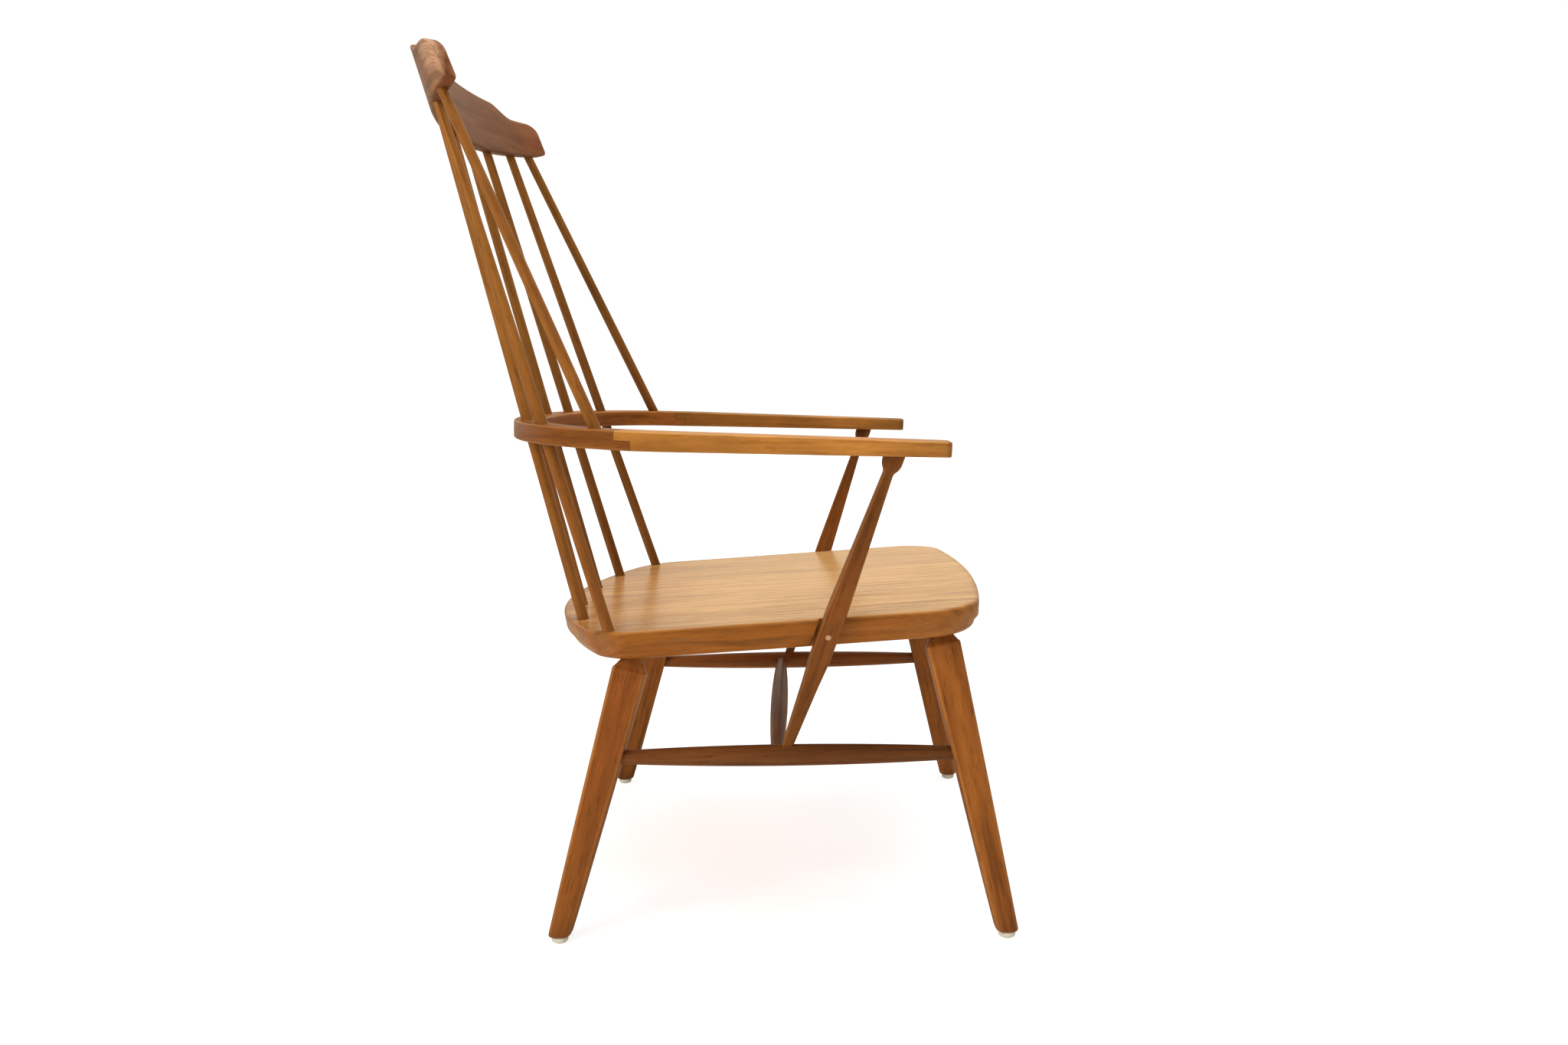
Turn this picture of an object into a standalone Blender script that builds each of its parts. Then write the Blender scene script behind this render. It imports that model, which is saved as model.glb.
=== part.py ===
"""Comb-back armchair: a plank seat on four splayed legs, a bent arm rail and eight spindles.

The chair faces -Y, with Z up. Lengths are in metres. Points are worked out with Y measured from
the middle of the seat, and the last step centres the whole chair over the origin.
"""
import math

import bmesh
import bpy
from mathutils import Vector

# Fits and facets
CLEARANCE = 0.0003
ROUND_SIDES = 16
CORNER_POINTS = 4

# Seat plank
SEAT_HEIGHT = 0.379
SEAT_TILT = math.radians(3.15)
SEAT_THICKNESS = 0.0355
SEAT_BACK_HALF_WIDTH = 0.245
SEAT_FRONT_HALF_WIDTH = 0.243
SEAT_BACK_CORNER_Y = 0.194
SEAT_FRONT_CORNER_Y = -0.246
SEAT_BACK_CROWN = 0.083
SEAT_FRONT_CROWN = 0.026
SEAT_BACK_CORNER_RADIUS = 0.035
SEAT_FRONT_CORNER_RADIUS = 0.055
SEAT_TOP_ROUND = 0.004
SEAT_UNDERCUT = 0.0065
SEAT_BOTTOM_ROUND = 0.012

# Legs
FRONT_FOOT_Y = -0.2805
REAR_FOOT_Y = 0.254
FOOT_HALF_SPAN = 0.262
LEG_SIDE_LEAN = 0.185
FRONT_LEG_LEAN = 0.2055
REAR_LEG_LEAN = 0.283
LEG_TOP_DEPTH = 0.0415
LEG_TOP_WIDTH = 0.032
LEG_FOOT_DEPTH = 0.0255
LEG_FOOT_WIDTH = 0.0225
LEG_SWELL = 0.85
LEG_CORNER_RADIUS = 0.006
LEG_FOOT_CHAMFER = 0.003
LEG_SHOULDER_DROP = 0.009
FRONT_NECK = 0.013
REAR_NECK = 0.018
LEG_TENON_RADIUS = 0.014
LEG_TENON_DEPTH = 0.022

# Glides under the feet
GLIDE_RADIUS = 0.0098
GLIDE_HEIGHT = 0.007
GLIDE_ROUND = 0.002
GLIDE_NAIL_RADIUS = 0.0013
GLIDE_NAIL_LENGTH = 0.014

# Stretchers
STRETCHER_HEIGHT = 0.2125
SIDE_STRETCHER_RADIUS = 0.0128
SIDE_STRETCHER_END_RADIUS = 0.0075
SIDE_STRETCHER_SOCKET = 0.015
CROSS_STRETCHER_Y = -0.010
CROSS_STRETCHER_RADIUS = 0.0118
CROSS_STRETCHER_END_RADIUS = 0.007
CROSS_STRETCHER_SOCKET = 0.006

# Arm rail: two arms lapped to a back bow
RAIL_HEIGHT = 0.599
RAIL_TILT = math.radians(2.95)
ARM_WIDTH = 0.043
BOW_WIDTH = 0.037
RAIL_THICKNESS = 0.022
RAIL_HALF_SPAN = 0.280
RAIL_CURVE_START_Y = 0.088
RAIL_CURVE_DEPTH = 0.2165
RAIL_SQUARENESS = 2.4
RAIL_EDGE_ROUND = 0.0024
ARM_FRONT_Y = -0.210
ARM_FRONT_THICKNESS = 0.017
ARM_FRONT_CORNER = 0.008
RAIL_JOINT_Y = 0.145
RAIL_LAP = 0.018
RAIL_WIDTH_RUN = 0.070

# Arm posts
POST_FOOT_Y = -0.023
POST_HEAD_Y = -0.1476
POST_FOOT_DEPTH = 0.0125
POST_SEAT_DEPTH = 0.024
POST_NECK_DEPTH = 0.0115
POST_HEAD_DEPTH = 0.0225
POST_FOOT_WIDTH = 0.011
POST_SEAT_WIDTH = 0.018
POST_HEAD_WIDTH = 0.015
POST_HEAD_LENGTH = 0.020
POST_CORNER_RADIUS = 0.003
POST_TENON_RADIUS = 0.004
POST_FOOT_TENON = 0.007
POST_HEAD_TENON = 0.009
POST_SEATING = 0.0022
POST_NOTCH_EASE = 0.003

# Screw and plug through each post
PLUG_RADIUS = 0.0034
PLUG_THICKNESS = 0.003
PLUG_RECESS = 0.0006
SCREW_HEAD_RADIUS = 0.003
SCREW_HEAD_LENGTH = 0.003
SCREW_SHANK_RADIUS = 0.0016
SCREW_LENGTH = 0.036

# Crest rail
CREST_TOP = 1.0540
CREST_EAR_TOP = 1.0390
CREST_BOTTOM = 0.974
CREST_END_RISE = 0.019
CREST_HALF_SPAN = 0.2315
CREST_HUMP_END = 0.140
CREST_EAR_START = 0.190
CREST_EAR_ROUND = 0.014
CREST_THICKNESS = 0.020
CREST_EDGE_ROUND = 0.0045
CREST_CURVE_HALF_WIDTH = 0.250
CREST_CURVE_DEPTH = 0.105

# Spindles
SPINDLE_SEAT_RADIUS = 0.0070
SPINDLE_RAIL_RADIUS = 0.0068
SPINDLE_CREST_RADIUS = 0.0058
SPINDLE_SEAT_SOCKET = 0.017
SPINDLE_CREST_SOCKET = 0.024
SHORT_SPINDLE_SOCKET = 0.014
SPINDLE_END_CHAMFER = 0.001
INNER_SEAT_SPREAD = 0.056
INNER_SEAT_INSET = 0.0245
INNER_RAIL_SPREAD = 0.0488
MIDDLE_SEAT_SPREAD = 0.148
MIDDLE_SEAT_INSET = 0.0165
MIDDLE_RAIL_SPREAD = 0.129
OUTER_SEAT_SPREAD = 0.226
OUTER_SEAT_INSET = 0.0205
OUTER_RAIL_SPREAD = 0.203
SHORT_RAIL_INSET = 0.018
SHORT_CREST_SPREAD = 0.206

# Materials: base colour, roughness
WOODS = {
    "seat_wood": ((0.58, 0.36, 0.17), 0.42),
    "leg_wood": ((0.33, 0.13, 0.045), 0.38),
    "stretcher_wood": ((0.17, 0.06, 0.028), 0.38),
    "arm_wood": ((0.46, 0.20, 0.06), 0.36),
    "bow_wood": ((0.24, 0.09, 0.035), 0.38),
    "spindle_wood": ((0.22, 0.085, 0.035), 0.38),
    "crest_wood": ((0.26, 0.13, 0.08), 0.40),
    "plug_wood": ((0.55, 0.33, 0.18), 0.45),
}
SIDES = {"right": -1, "left": 1}


# Scene and materials
def clear_scene():
    """Remove every object that is already in the scene."""
    for old in list(bpy.data.objects):
        bpy.data.objects.remove(old, do_unlink=True)


def new_collection(name):
    """Link a new collection to the scene."""
    collection = bpy.data.collections.new(name)
    bpy.context.scene.collection.children.link(collection)
    return collection


def new_material(name, colour, roughness, metallic=0.0):
    """A Principled material of one colour."""
    material = bpy.data.materials.new(name)
    material.use_nodes = True
    shader = material.node_tree.nodes["Principled BSDF"]
    shader.inputs["Base Color"].default_value = (*colour, 1.0)
    shader.inputs["Roughness"].default_value = roughness
    shader.inputs["Metallic"].default_value = metallic
    material.diffuse_color = (*colour, 1.0)
    return material


clear_scene()
PARTS = new_collection("spindle_back_armchair")
CUTTERS = new_collection("cutters")
CHAIR = bpy.data.objects.new("chair", None)
PARTS.objects.link(CHAIR)
MATERIALS = {name: new_material(name, *values) for name, values in WOODS.items()}
MATERIALS["glide_plastic"] = new_material("glide_plastic", (0.62, 0.56, 0.44), 0.5)
MATERIALS["screw_steel"] = new_material("screw_steel", (0.60, 0.60, 0.58), 0.35, 1.0)


# Shape helpers
def add_object(name, mesh, material):
    """A part with its material, or a cutter where no material is given."""
    piece = bpy.data.objects.new(name, mesh)
    piece.parent = CHAIR
    if material is None:
        CUTTERS.objects.link(piece)
        piece.hide_render = True
        piece.display_type = "WIRE"
    else:
        PARTS.objects.link(piece)
        mesh.materials.append(MATERIALS[material])
    return piece


def cut(target, cutter):
    """Take the cutter's shape out of the target."""
    modifier = target.modifiers.new(cutter.name, "BOOLEAN")
    modifier.operation = "DIFFERENCE"
    modifier.object = cutter


def loft(name, rings, material):
    """A closed solid through rings of as many points each, capped flat at both ends."""
    shape = bmesh.new()
    loops = [[shape.verts.new(point) for point in ring] for ring in rings]
    for lower, upper in zip(loops, loops[1:]):
        for index, corner in enumerate(lower):
            after = (index + 1) % len(lower)
            shape.faces.new((corner, lower[after], upper[after], upper[index]))
    shape.faces.new(loops[0])
    shape.faces.new(loops[-1])
    bmesh.ops.recalc_face_normals(shape, faces=shape.faces)
    mesh = bpy.data.meshes.new(name)
    shape.to_mesh(mesh)
    shape.free()
    mesh.shade_smooth()
    mesh.set_sharp_from_angle(angle=math.radians(35))
    return add_object(name, mesh, material)


def section(centre, across, along, half_across, half_along, radius):
    """Points round a rectangle with round corners, or round a circle, in the plane of two vectors."""
    radius = min(radius, half_across, half_along)
    points = []
    for quarter, (sign_u, sign_v) in enumerate(((1, 1), (-1, 1), (-1, -1), (1, -1))):
        for step in range(CORNER_POINTS):
            angle = math.radians(90) * (quarter + (step + 0.5) / CORNER_POINTS)
            u = sign_u * (half_across - radius) + radius * math.cos(angle)
            v = sign_v * (half_along - radius) + radius * math.sin(angle)
            points.append(centre + across * u + along * v)
    return points


def turned(name, base, tip, stations, material, sides=ROUND_SIDES):
    """A turned piece on the line from base to tip, from (distance, radius) stations in that order."""
    shape = bmesh.new()
    profile = [(stations[0][0], 0.0), *stations, (stations[-1][0], 0.0)]
    chain = [shape.verts.new((radius, 0.0, distance)) for distance, radius in reversed(profile)]
    for upper, lower in zip(chain, chain[1:]):
        shape.edges.new((upper, lower))
    mesh = bpy.data.meshes.new(name)
    shape.to_mesh(mesh)
    shape.free()
    piece = add_object(name, mesh, material)
    piece.location = base
    piece.rotation_euler = (tip - base).to_track_quat("Z", "Y").to_euler()
    screw = piece.modifiers.new("Turn", "SCREW")
    screw.axis = "Z"
    screw.steps = sides
    screw.render_steps = sides
    screw.use_merge_vertices = True
    screw.merge_threshold = 0.00002
    return piece


def grown(stations, ease):
    """The same stations with a larger radius and longer ends, for the hole they fit."""
    first, last = stations[0], stations[-1]
    middle = [(distance, radius + ease) for distance, radius in stations[1:-1]]
    start = (first[0] - ease, first[1] + ease)
    end = (last[0] + ease, last[1] + ease)
    return [start, *middle, end]


def blend(share):
    """A smooth step from 0 to 1."""
    share = min(max(share, 0.0), 1.0)
    return share * share * (3 - 2 * share)


def between(start, end, share):
    """The value that lies the given share of the way from start to end."""
    return start + (end - start) * share


# Seat
def seat_top(y):
    """Height of the seat's top face at a given Y."""
    return SEAT_HEIGHT - math.tan(SEAT_TILT) * y


def seat_underside(y):
    """Height of the seat's underside at a given Y."""
    return seat_top(y) - SEAT_THICKNESS / math.cos(SEAT_TILT)


def seat_crown(x, y):
    """Push the front and back edges outward in a shallow curve."""
    half_width = max(SEAT_BACK_HALF_WIDTH, SEAT_FRONT_HALF_WIDTH)
    fullness = 1 - (x / half_width) ** 2
    if y > 0:
        return y + SEAT_BACK_CROWN * fullness * y / SEAT_BACK_CORNER_Y
    return y - SEAT_FRONT_CROWN * fullness * y / SEAT_FRONT_CORNER_Y


def seat_outline():
    """Plan of the seat, anticlockwise from the back of the left side."""
    corners = (
        (SEAT_BACK_HALF_WIDTH, SEAT_BACK_CORNER_Y, SEAT_BACK_CORNER_RADIUS, 0),
        (-SEAT_BACK_HALF_WIDTH, SEAT_BACK_CORNER_Y, SEAT_BACK_CORNER_RADIUS, 90),
        (-SEAT_FRONT_HALF_WIDTH, SEAT_FRONT_CORNER_Y, SEAT_FRONT_CORNER_RADIUS, 180),
        (SEAT_FRONT_HALF_WIDTH, SEAT_FRONT_CORNER_Y, SEAT_FRONT_CORNER_RADIUS, 270),
    )
    plain = []
    for x, y, radius, start in corners:
        centre_x = x - math.copysign(radius, x)
        centre_y = y - math.copysign(radius, y)
        for step in range(9):
            angle = math.radians(start + 90 * step / 8)
            plain.append((centre_x + radius * math.cos(angle), centre_y + radius * math.sin(angle)))
    points = []
    for index, (x, y) in enumerate(plain):
        next_x, next_y = plain[(index + 1) % len(plain)]
        gap = math.hypot(next_x - x, next_y - y)
        pieces = max(1, round(gap / 0.045))
        for step in range(pieces):
            share = step / pieces
            mid_x, mid_y = between(x, next_x, share), between(y, next_y, share)
            points.append(Vector((mid_x, seat_crown(mid_x, mid_y))))
    return points


def inset(points, distance):
    """Move the points of a closed anticlockwise outline inward."""
    moved = []
    for index, point in enumerate(points):
        along = (points[(index + 1) % len(points)] - points[index - 1]).normalized()
        moved.append(point + Vector((-along.y, along.x)) * distance)
    return moved


def seat_edge_steps():
    """Inset and depth down the seat's edge: rounded top, undercut side, rounder bottom."""
    steps = []
    for degrees in (0, 45, 90):
        angle = math.radians(degrees)
        steps.append((SEAT_TOP_ROUND * (1 - math.sin(angle)), SEAT_TOP_ROUND * (1 - math.cos(angle))))
    for degrees in (10, 40, 65, 90):
        angle = math.radians(degrees)
        sideways = SEAT_UNDERCUT + SEAT_BOTTOM_ROUND * (1 - math.cos(angle))
        depth = SEAT_THICKNESS - SEAT_BOTTOM_ROUND * (1 - math.sin(angle))
        steps.append((sideways, depth))
    return steps


def make_seat():
    """The plank seat, tilted up at the front."""
    outline = seat_outline()
    rings = []
    for distance, depth in seat_edge_steps():
        rings.append([Vector((point.x, point.y, -depth)) for point in inset(outline, distance)])
    seat = loft("seat", rings, "seat_wood")
    seat.location = (0.0, 0.0, SEAT_HEIGHT)
    seat.rotation_euler = (-SEAT_TILT, 0.0, 0.0)
    return seat


# Legs and glides
def leg_centre(end, side, height):
    """Point on a leg's centre line."""
    x = FOOT_HALF_SPAN - LEG_SIDE_LEAN * height
    if end == "front":
        return Vector((side * x, FRONT_FOOT_Y + FRONT_LEG_LEAN * height, height))
    return Vector((side * x, REAR_FOOT_Y - REAR_LEG_LEAN * height, height))


def leg_shoulder_height(end):
    """Height of the shoulder where the leg narrows below the seat."""
    neck = FRONT_NECK if end == "front" else REAR_NECK
    near_seat = leg_centre(end, 1, SEAT_HEIGHT - SEAT_THICKNESS)
    return seat_underside(near_seat.y) - neck


def make_leg(end, side_name, seat):
    """A tapered leg with a flat foot, a chamfered shoulder and a round tenon in the seat."""
    side = SIDES[side_name]
    shoulder = leg_shoulder_height(end)
    foot_height = GLIDE_HEIGHT + CLEARANCE
    foot = leg_centre(end, side, foot_height)
    top = leg_centre(end, side, shoulder)
    axis = (top - foot).normalized()
    along = (Vector((0, 1, 0)) - axis * axis.y).normalized()
    across = axis.cross(along)
    length = (top - foot).length
    rings = []
    for share in (0.0, 0.015, 0.2, 0.4, 0.6, 0.8, 1.0):
        size = share ** LEG_SWELL
        half_along = between(LEG_FOOT_DEPTH, LEG_TOP_DEPTH, size) / 2
        half_across = between(LEG_FOOT_WIDTH, LEG_TOP_WIDTH, size) / 2
        if share == 0.0:
            half_along -= LEG_FOOT_CHAMFER
            half_across -= LEG_FOOT_CHAMFER
        centre = foot + axis * length * share
        ring = section(centre, across, along, half_across, half_along, LEG_CORNER_RADIUS)
        if share < 0.1:
            level = foot_height + length * share
            ring = [point + axis * ((level - point.z) / axis.z) for point in ring]
        rings.append(ring)
    hole_mouth = top + axis * ((seat_underside(top.y) - top.z) / axis.z)
    neck = top + axis * LEG_SHOULDER_DROP
    end_point = hole_mouth + axis * LEG_TENON_DEPTH
    for point in (neck, end_point):
        rings.append(section(point, across, along, LEG_TENON_RADIUS, LEG_TENON_RADIUS, LEG_TENON_RADIUS))
    leg = loft(f"leg_{end}_{side_name}", rings, "leg_wood")
    reach = (end_point - neck).length
    hole = [(0.0, LEG_TENON_RADIUS + CLEARANCE), (reach + CLEARANCE, LEG_TENON_RADIUS + CLEARANCE)]
    cut(seat, turned(f"mortise_{end}_{side_name}", neck, end_point, hole, None))
    return leg


def make_glide(end, side_name, leg):
    """A round glide with its nail driven up into the foot."""
    base = leg_centre(end, SIDES[side_name], GLIDE_HEIGHT)
    base.z = 0.0
    tip = base + Vector((0, 0, 1))
    body_top = GLIDE_HEIGHT
    nail_top = GLIDE_HEIGHT + GLIDE_NAIL_LENGTH
    stations = [
        (0.0, GLIDE_RADIUS - GLIDE_ROUND),
        (GLIDE_ROUND, GLIDE_RADIUS),
        (body_top, GLIDE_RADIUS),
        (body_top, GLIDE_NAIL_RADIUS),
        (nail_top, GLIDE_NAIL_RADIUS),
    ]
    hole = grown([(body_top, GLIDE_NAIL_RADIUS), (nail_top, GLIDE_NAIL_RADIUS)], CLEARANCE)
    cut(leg, turned(f"nail_hole_{end}_{side_name}", base, tip, hole, None, sides=8))
    return turned(f"glide_{end}_{side_name}", base, tip, stations, "glide_plastic")


# Stretchers
def swelling(length, end_radius, middle_radius, socket):
    """Stations of a stick that swells to its middle and runs plain inside its sockets."""
    stations = [(0.0, end_radius)]
    for step in range(9):
        share = step / 8
        radius = between(end_radius, middle_radius, 1 - (2 * share - 1) ** 2)
        stations.append((socket + (length - 2 * socket) * share, radius))
    stations.append((length, end_radius))
    return stations


def make_side_stretcher(side_name, front_leg, rear_leg):
    """The stretcher between the two legs of one side."""
    side = SIDES[side_name]
    front = leg_centre("front", side, STRETCHER_HEIGHT)
    rear = leg_centre("rear", side, STRETCHER_HEIGHT)
    half_leg = leg_depth_at("front", STRETCHER_HEIGHT) / 2
    start = front + Vector((0, half_leg - SIDE_STRETCHER_SOCKET, 0))
    half_leg = leg_depth_at("rear", STRETCHER_HEIGHT) / 2
    stop = rear - Vector((0, half_leg - SIDE_STRETCHER_SOCKET, 0))
    length = (stop - start).length
    stations = swelling(length, SIDE_STRETCHER_END_RADIUS, SIDE_STRETCHER_RADIUS, SIDE_STRETCHER_SOCKET)
    stretcher = turned(f"side_stretcher_{side_name}", start, stop, stations, "stretcher_wood")
    hole = turned(f"stretcher_hole_{side_name}", start, stop, grown(stations, CLEARANCE), None)
    cut(front_leg, hole)
    cut(rear_leg, hole)
    return stretcher


def leg_depth_at(end, height):
    """Fore and aft size of a leg, measured level at a height."""
    share = (height - GLIDE_HEIGHT) / (leg_shoulder_height(end) - GLIDE_HEIGHT)
    lean = FRONT_LEG_LEAN if end == "front" else REAR_LEG_LEAN
    return between(LEG_FOOT_DEPTH, LEG_TOP_DEPTH, share ** LEG_SWELL) * math.hypot(1, lean)


def make_cross_stretcher(side_stretchers):
    """The stretcher between the middles of the two side stretchers."""
    x = leg_centre("front", 1, STRETCHER_HEIGHT).x - SIDE_STRETCHER_RADIUS + CROSS_STRETCHER_SOCKET
    start = Vector((-x, CROSS_STRETCHER_Y, STRETCHER_HEIGHT))
    stop = Vector((x, CROSS_STRETCHER_Y, STRETCHER_HEIGHT))
    stations = swelling(2 * x, CROSS_STRETCHER_END_RADIUS, CROSS_STRETCHER_RADIUS, CROSS_STRETCHER_SOCKET)
    hole = turned("cross_stretcher_hole", start, stop, grown(stations, CLEARANCE), None)
    for stretcher in side_stretchers:
        cut(stretcher, hole)
    return turned("cross_stretcher", start, stop, stations, "stretcher_wood")


# Arm rail
def rail_top(y):
    """Height of the arm rail's top face at a given Y."""
    return RAIL_HEIGHT + math.tan(RAIL_TILT) * y


def rail_thickness(y):
    """Thickness of the arm rail, thinner towards the front."""
    share = (RAIL_JOINT_Y - y) / (RAIL_JOINT_Y - ARM_FRONT_Y)
    return between(RAIL_THICKNESS, ARM_FRONT_THICKNESS, min(max(share, 0.0), 1.0))


def rail_back_y(x):
    """Y of the rail's centre line behind a given X, on the curved back."""
    share = 1 - (abs(x) / RAIL_HALF_SPAN) ** RAIL_SQUARENESS
    return RAIL_CURVE_START_Y + RAIL_CURVE_DEPTH * share ** (1 / RAIL_SQUARENESS)


def rail_centre_line():
    """Centre line of the whole rail in plan, from the left front round the back."""
    half = []
    for step in range(8):
        half.append(Vector((RAIL_HALF_SPAN, between(ARM_FRONT_Y, RAIL_CURVE_START_Y, step / 8))))
    for step in range(61):
        angle = math.radians(90) * step / 60
        x = RAIL_HALF_SPAN * max(math.cos(angle), 0.0) ** (2 / RAIL_SQUARENESS)
        y = RAIL_CURVE_START_Y + RAIL_CURVE_DEPTH * math.sin(angle) ** (2 / RAIL_SQUARENESS)
        half.append(Vector((x, y)))
    half[-1].x = 0.0
    return half + [Vector((-point.x, point.y)) for point in reversed(half[:-1])]


def distances(line):
    """Distance along a line at each of its points."""
    marks = [0.0]
    for start, end in zip(line, line[1:]):
        marks.append(marks[-1] + (end - start).length)
    return marks


def spaced(start, stop, step=0.015):
    """Even distances from start to stop, no further apart than the step."""
    count = max(2, math.ceil((stop - start) / step))
    return [between(start, stop, index / count) for index in range(count + 1)]


def point_at(line, place):
    """The point and the direction of a line at a distance along it."""
    marks = distances(line)
    after = next((index for index, mark in enumerate(marks) if mark >= place), len(marks) - 1)
    after = max(after, 1)
    share = (place - marks[after - 1]) / (marks[after] - marks[after - 1])
    chords = [(line[index + 1] - line[index]).normalized() for index in range(len(line) - 1)]
    before_chord = chords[max(after - 2, 0)] + chords[after - 1]
    after_chord = chords[after - 1] + chords[min(after, len(chords) - 1)]
    along = before_chord.normalized().lerp(after_chord.normalized(), share).normalized()
    return line[after - 1].lerp(line[after], share), along


def joint_distance(line):
    """Distance along the rail to the middle of the left arm's joint."""
    marks = distances(line)
    return next(mark for mark, point in zip(marks, line) if point.y >= RAIL_JOINT_Y)


def seat_on_rail_plane(piece):
    """Lay a flat piece on the plane of the rail's top face."""
    piece.location = (0.0, 0.0, RAIL_HEIGHT)
    piece.rotation_euler = (RAIL_TILT, 0.0, 0.0)


def rail_width(y):
    """Width of the arm rail, which widens from the bow into the arms."""
    return between(BOW_WIDTH, ARM_WIDTH, blend(0.5 + (RAIL_JOINT_Y - y) / RAIL_WIDTH_RUN))


def tip_inset(y):
    """How far each side of an arm steps in round its front corners."""
    short = min(max(ARM_FRONT_CORNER - (y - ARM_FRONT_Y), 0.0), ARM_FRONT_CORNER)
    return ARM_FRONT_CORNER - math.sqrt(ARM_FRONT_CORNER ** 2 - short ** 2)


def rail_piece(name, line, places, material):
    """A stretch of the rail lofted through rounded sections, thinner towards the front."""
    rings = []
    for place in places:
        point, along = point_at(line, place)
        thickness = rail_thickness(point.y)
        centre = Vector((point.x, point.y, -thickness / 2))
        across = Vector((along.y, -along.x, 0.0))
        half_width = rail_width(point.y) / 2 - tip_inset(point.y)
        up = Vector((0, 0, 1))
        rings.append(section(centre, across, up, half_width, thickness / 2, RAIL_EDGE_ROUND))
    piece = loft(name, rings, material)
    seat_on_rail_plane(piece)
    return piece


def lap_cutter(name, line, start, stop, top, bottom):
    """A flat cutter wider than the rail, between two depths below its top face."""
    rings = []
    for place in spaced(start, stop):
        point, along = point_at(line, place)
        centre = Vector((point.x, point.y, (top + bottom) / 2))
        across = Vector((along.y, -along.x, 0.0))
        up = Vector((0, 0, 1))
        rings.append(section(centre, across, up, ARM_WIDTH, (top - bottom) / 2, 0.0005))
    cutter = loft(name, rings, None)
    seat_on_rail_plane(cutter)
    return cutter


def make_rail():
    """Two arms half lapped to the back bow."""
    line = rail_centre_line()
    total = distances(line)[-1]
    joint = joint_distance(line)
    near, far = joint - RAIL_LAP / 2, joint + RAIL_LAP / 2
    middle = -RAIL_THICKNESS / 2
    margin = RAIL_THICKNESS
    tip = [ARM_FRONT_CORNER * share for share in (0.0, 0.12, 0.35, 0.65)]
    arm_places = tip + spaced(ARM_FRONT_CORNER, far)
    mirrored = [total - place for place in reversed(arm_places)]
    arms = {
        "left": rail_piece("arm_left", line, arm_places, "arm_wood"),
        "right": rail_piece("arm_right", line, mirrored, "arm_wood"),
    }
    bow = rail_piece("back_bow", line, spaced(near, total - near), "bow_wood")
    arm_laps = {
        "left": (near - CLEARANCE, far + margin),
        "right": (total - far - margin, total - near + CLEARANCE),
    }
    bow_laps = {
        "left": (near - margin, far + CLEARANCE),
        "right": (total - far - CLEARANCE, total - near + margin),
    }
    for side_name, (start, stop) in arm_laps.items():
        top = middle + CLEARANCE / 2
        cut(arms[side_name], lap_cutter(f"arm_lap_{side_name}", line, start, stop, top, middle - margin))
    for side_name, (start, stop) in bow_laps.items():
        bottom = middle - CLEARANCE / 2
        cut(bow, lap_cutter(f"bow_lap_{side_name}", line, start, stop, middle + margin, bottom))
    return arms, bow


# Arm posts
def post_line(side):
    """Foot and head of a post's centre line, where it meets the stretcher and the arm."""
    foot_x = leg_centre("front", side, STRETCHER_HEIGHT).x
    foot = Vector((foot_x, POST_FOOT_Y, STRETCHER_HEIGHT + SIDE_STRETCHER_RADIUS))
    underside = rail_top(POST_HEAD_Y) - rail_thickness(POST_HEAD_Y) / math.cos(RAIL_TILT)
    head = Vector((side * RAIL_HALF_SPAN, POST_HEAD_Y, underside))
    return foot, head


def post_rings(side, ease, back_ease):
    """Rings of a post from its foot tenon to its head tenon, eased for the notch that it fits."""
    foot, head = post_line(side)
    axis = (head - foot).normalized()
    along = (Vector((0, 1, 0)) - axis * axis.y).normalized()
    across = axis.cross(along)
    length = (head - foot).length
    seating = POST_SEATING + ease
    tenon = [POST_TENON_RADIUS + ease] * 3
    seat_share = (seat_top(0.0) - foot.z) / (head.z - foot.z)
    neck_share = 1 - POST_HEAD_LENGTH / length
    bulge_share = 1 - 0.45 * POST_HEAD_LENGTH / length
    low_depth = between(POST_FOOT_DEPTH, POST_SEAT_DEPTH, 0.6)
    low_width = between(POST_FOOT_WIDTH, POST_SEAT_WIDTH, 0.6)
    flare_depth = between(POST_NECK_DEPTH, POST_HEAD_DEPTH, 0.7)
    stations = (
        (-seating / length, POST_FOOT_DEPTH, POST_FOOT_WIDTH),
        (seat_share / 2, low_depth, low_width),
        (seat_share - 0.12, POST_SEAT_DEPTH, POST_SEAT_WIDTH),
        (seat_share + 0.03, POST_SEAT_DEPTH, POST_SEAT_WIDTH),
        ((seat_share + neck_share) / 2, between(POST_SEAT_DEPTH, POST_NECK_DEPTH, 0.45), POST_HEAD_WIDTH),
        (neck_share, POST_NECK_DEPTH, between(POST_HEAD_WIDTH, POST_FOOT_WIDTH, 0.5)),
        (between(neck_share, bulge_share, 0.5), flare_depth, POST_HEAD_WIDTH),
        (bulge_share, POST_HEAD_DEPTH, POST_HEAD_WIDTH),
        (1.0 - CLEARANCE / length, POST_HEAD_DEPTH, POST_HEAD_WIDTH),
    )
    rings = [section(foot - axis * (POST_FOOT_TENON + ease), across, along, *tenon)]
    rings.append(section(foot - axis * seating, across, along, *tenon))
    for share, depth, width in stations:
        centre = foot + axis * length * share + along * back_ease / 2
        half_depth = (depth + back_ease) / 2 + ease
        rings.append(section(centre, across, along, width / 2 + ease, half_depth, POST_CORNER_RADIUS))
    rings.append(section(head, across, along, *tenon))
    rings[-2:] = [[on_arm_underside(point, axis) for point in ring] for ring in rings[-2:]]
    rings.append(section(head + axis * (POST_HEAD_TENON + ease), across, along, *tenon))
    return rings


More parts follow.
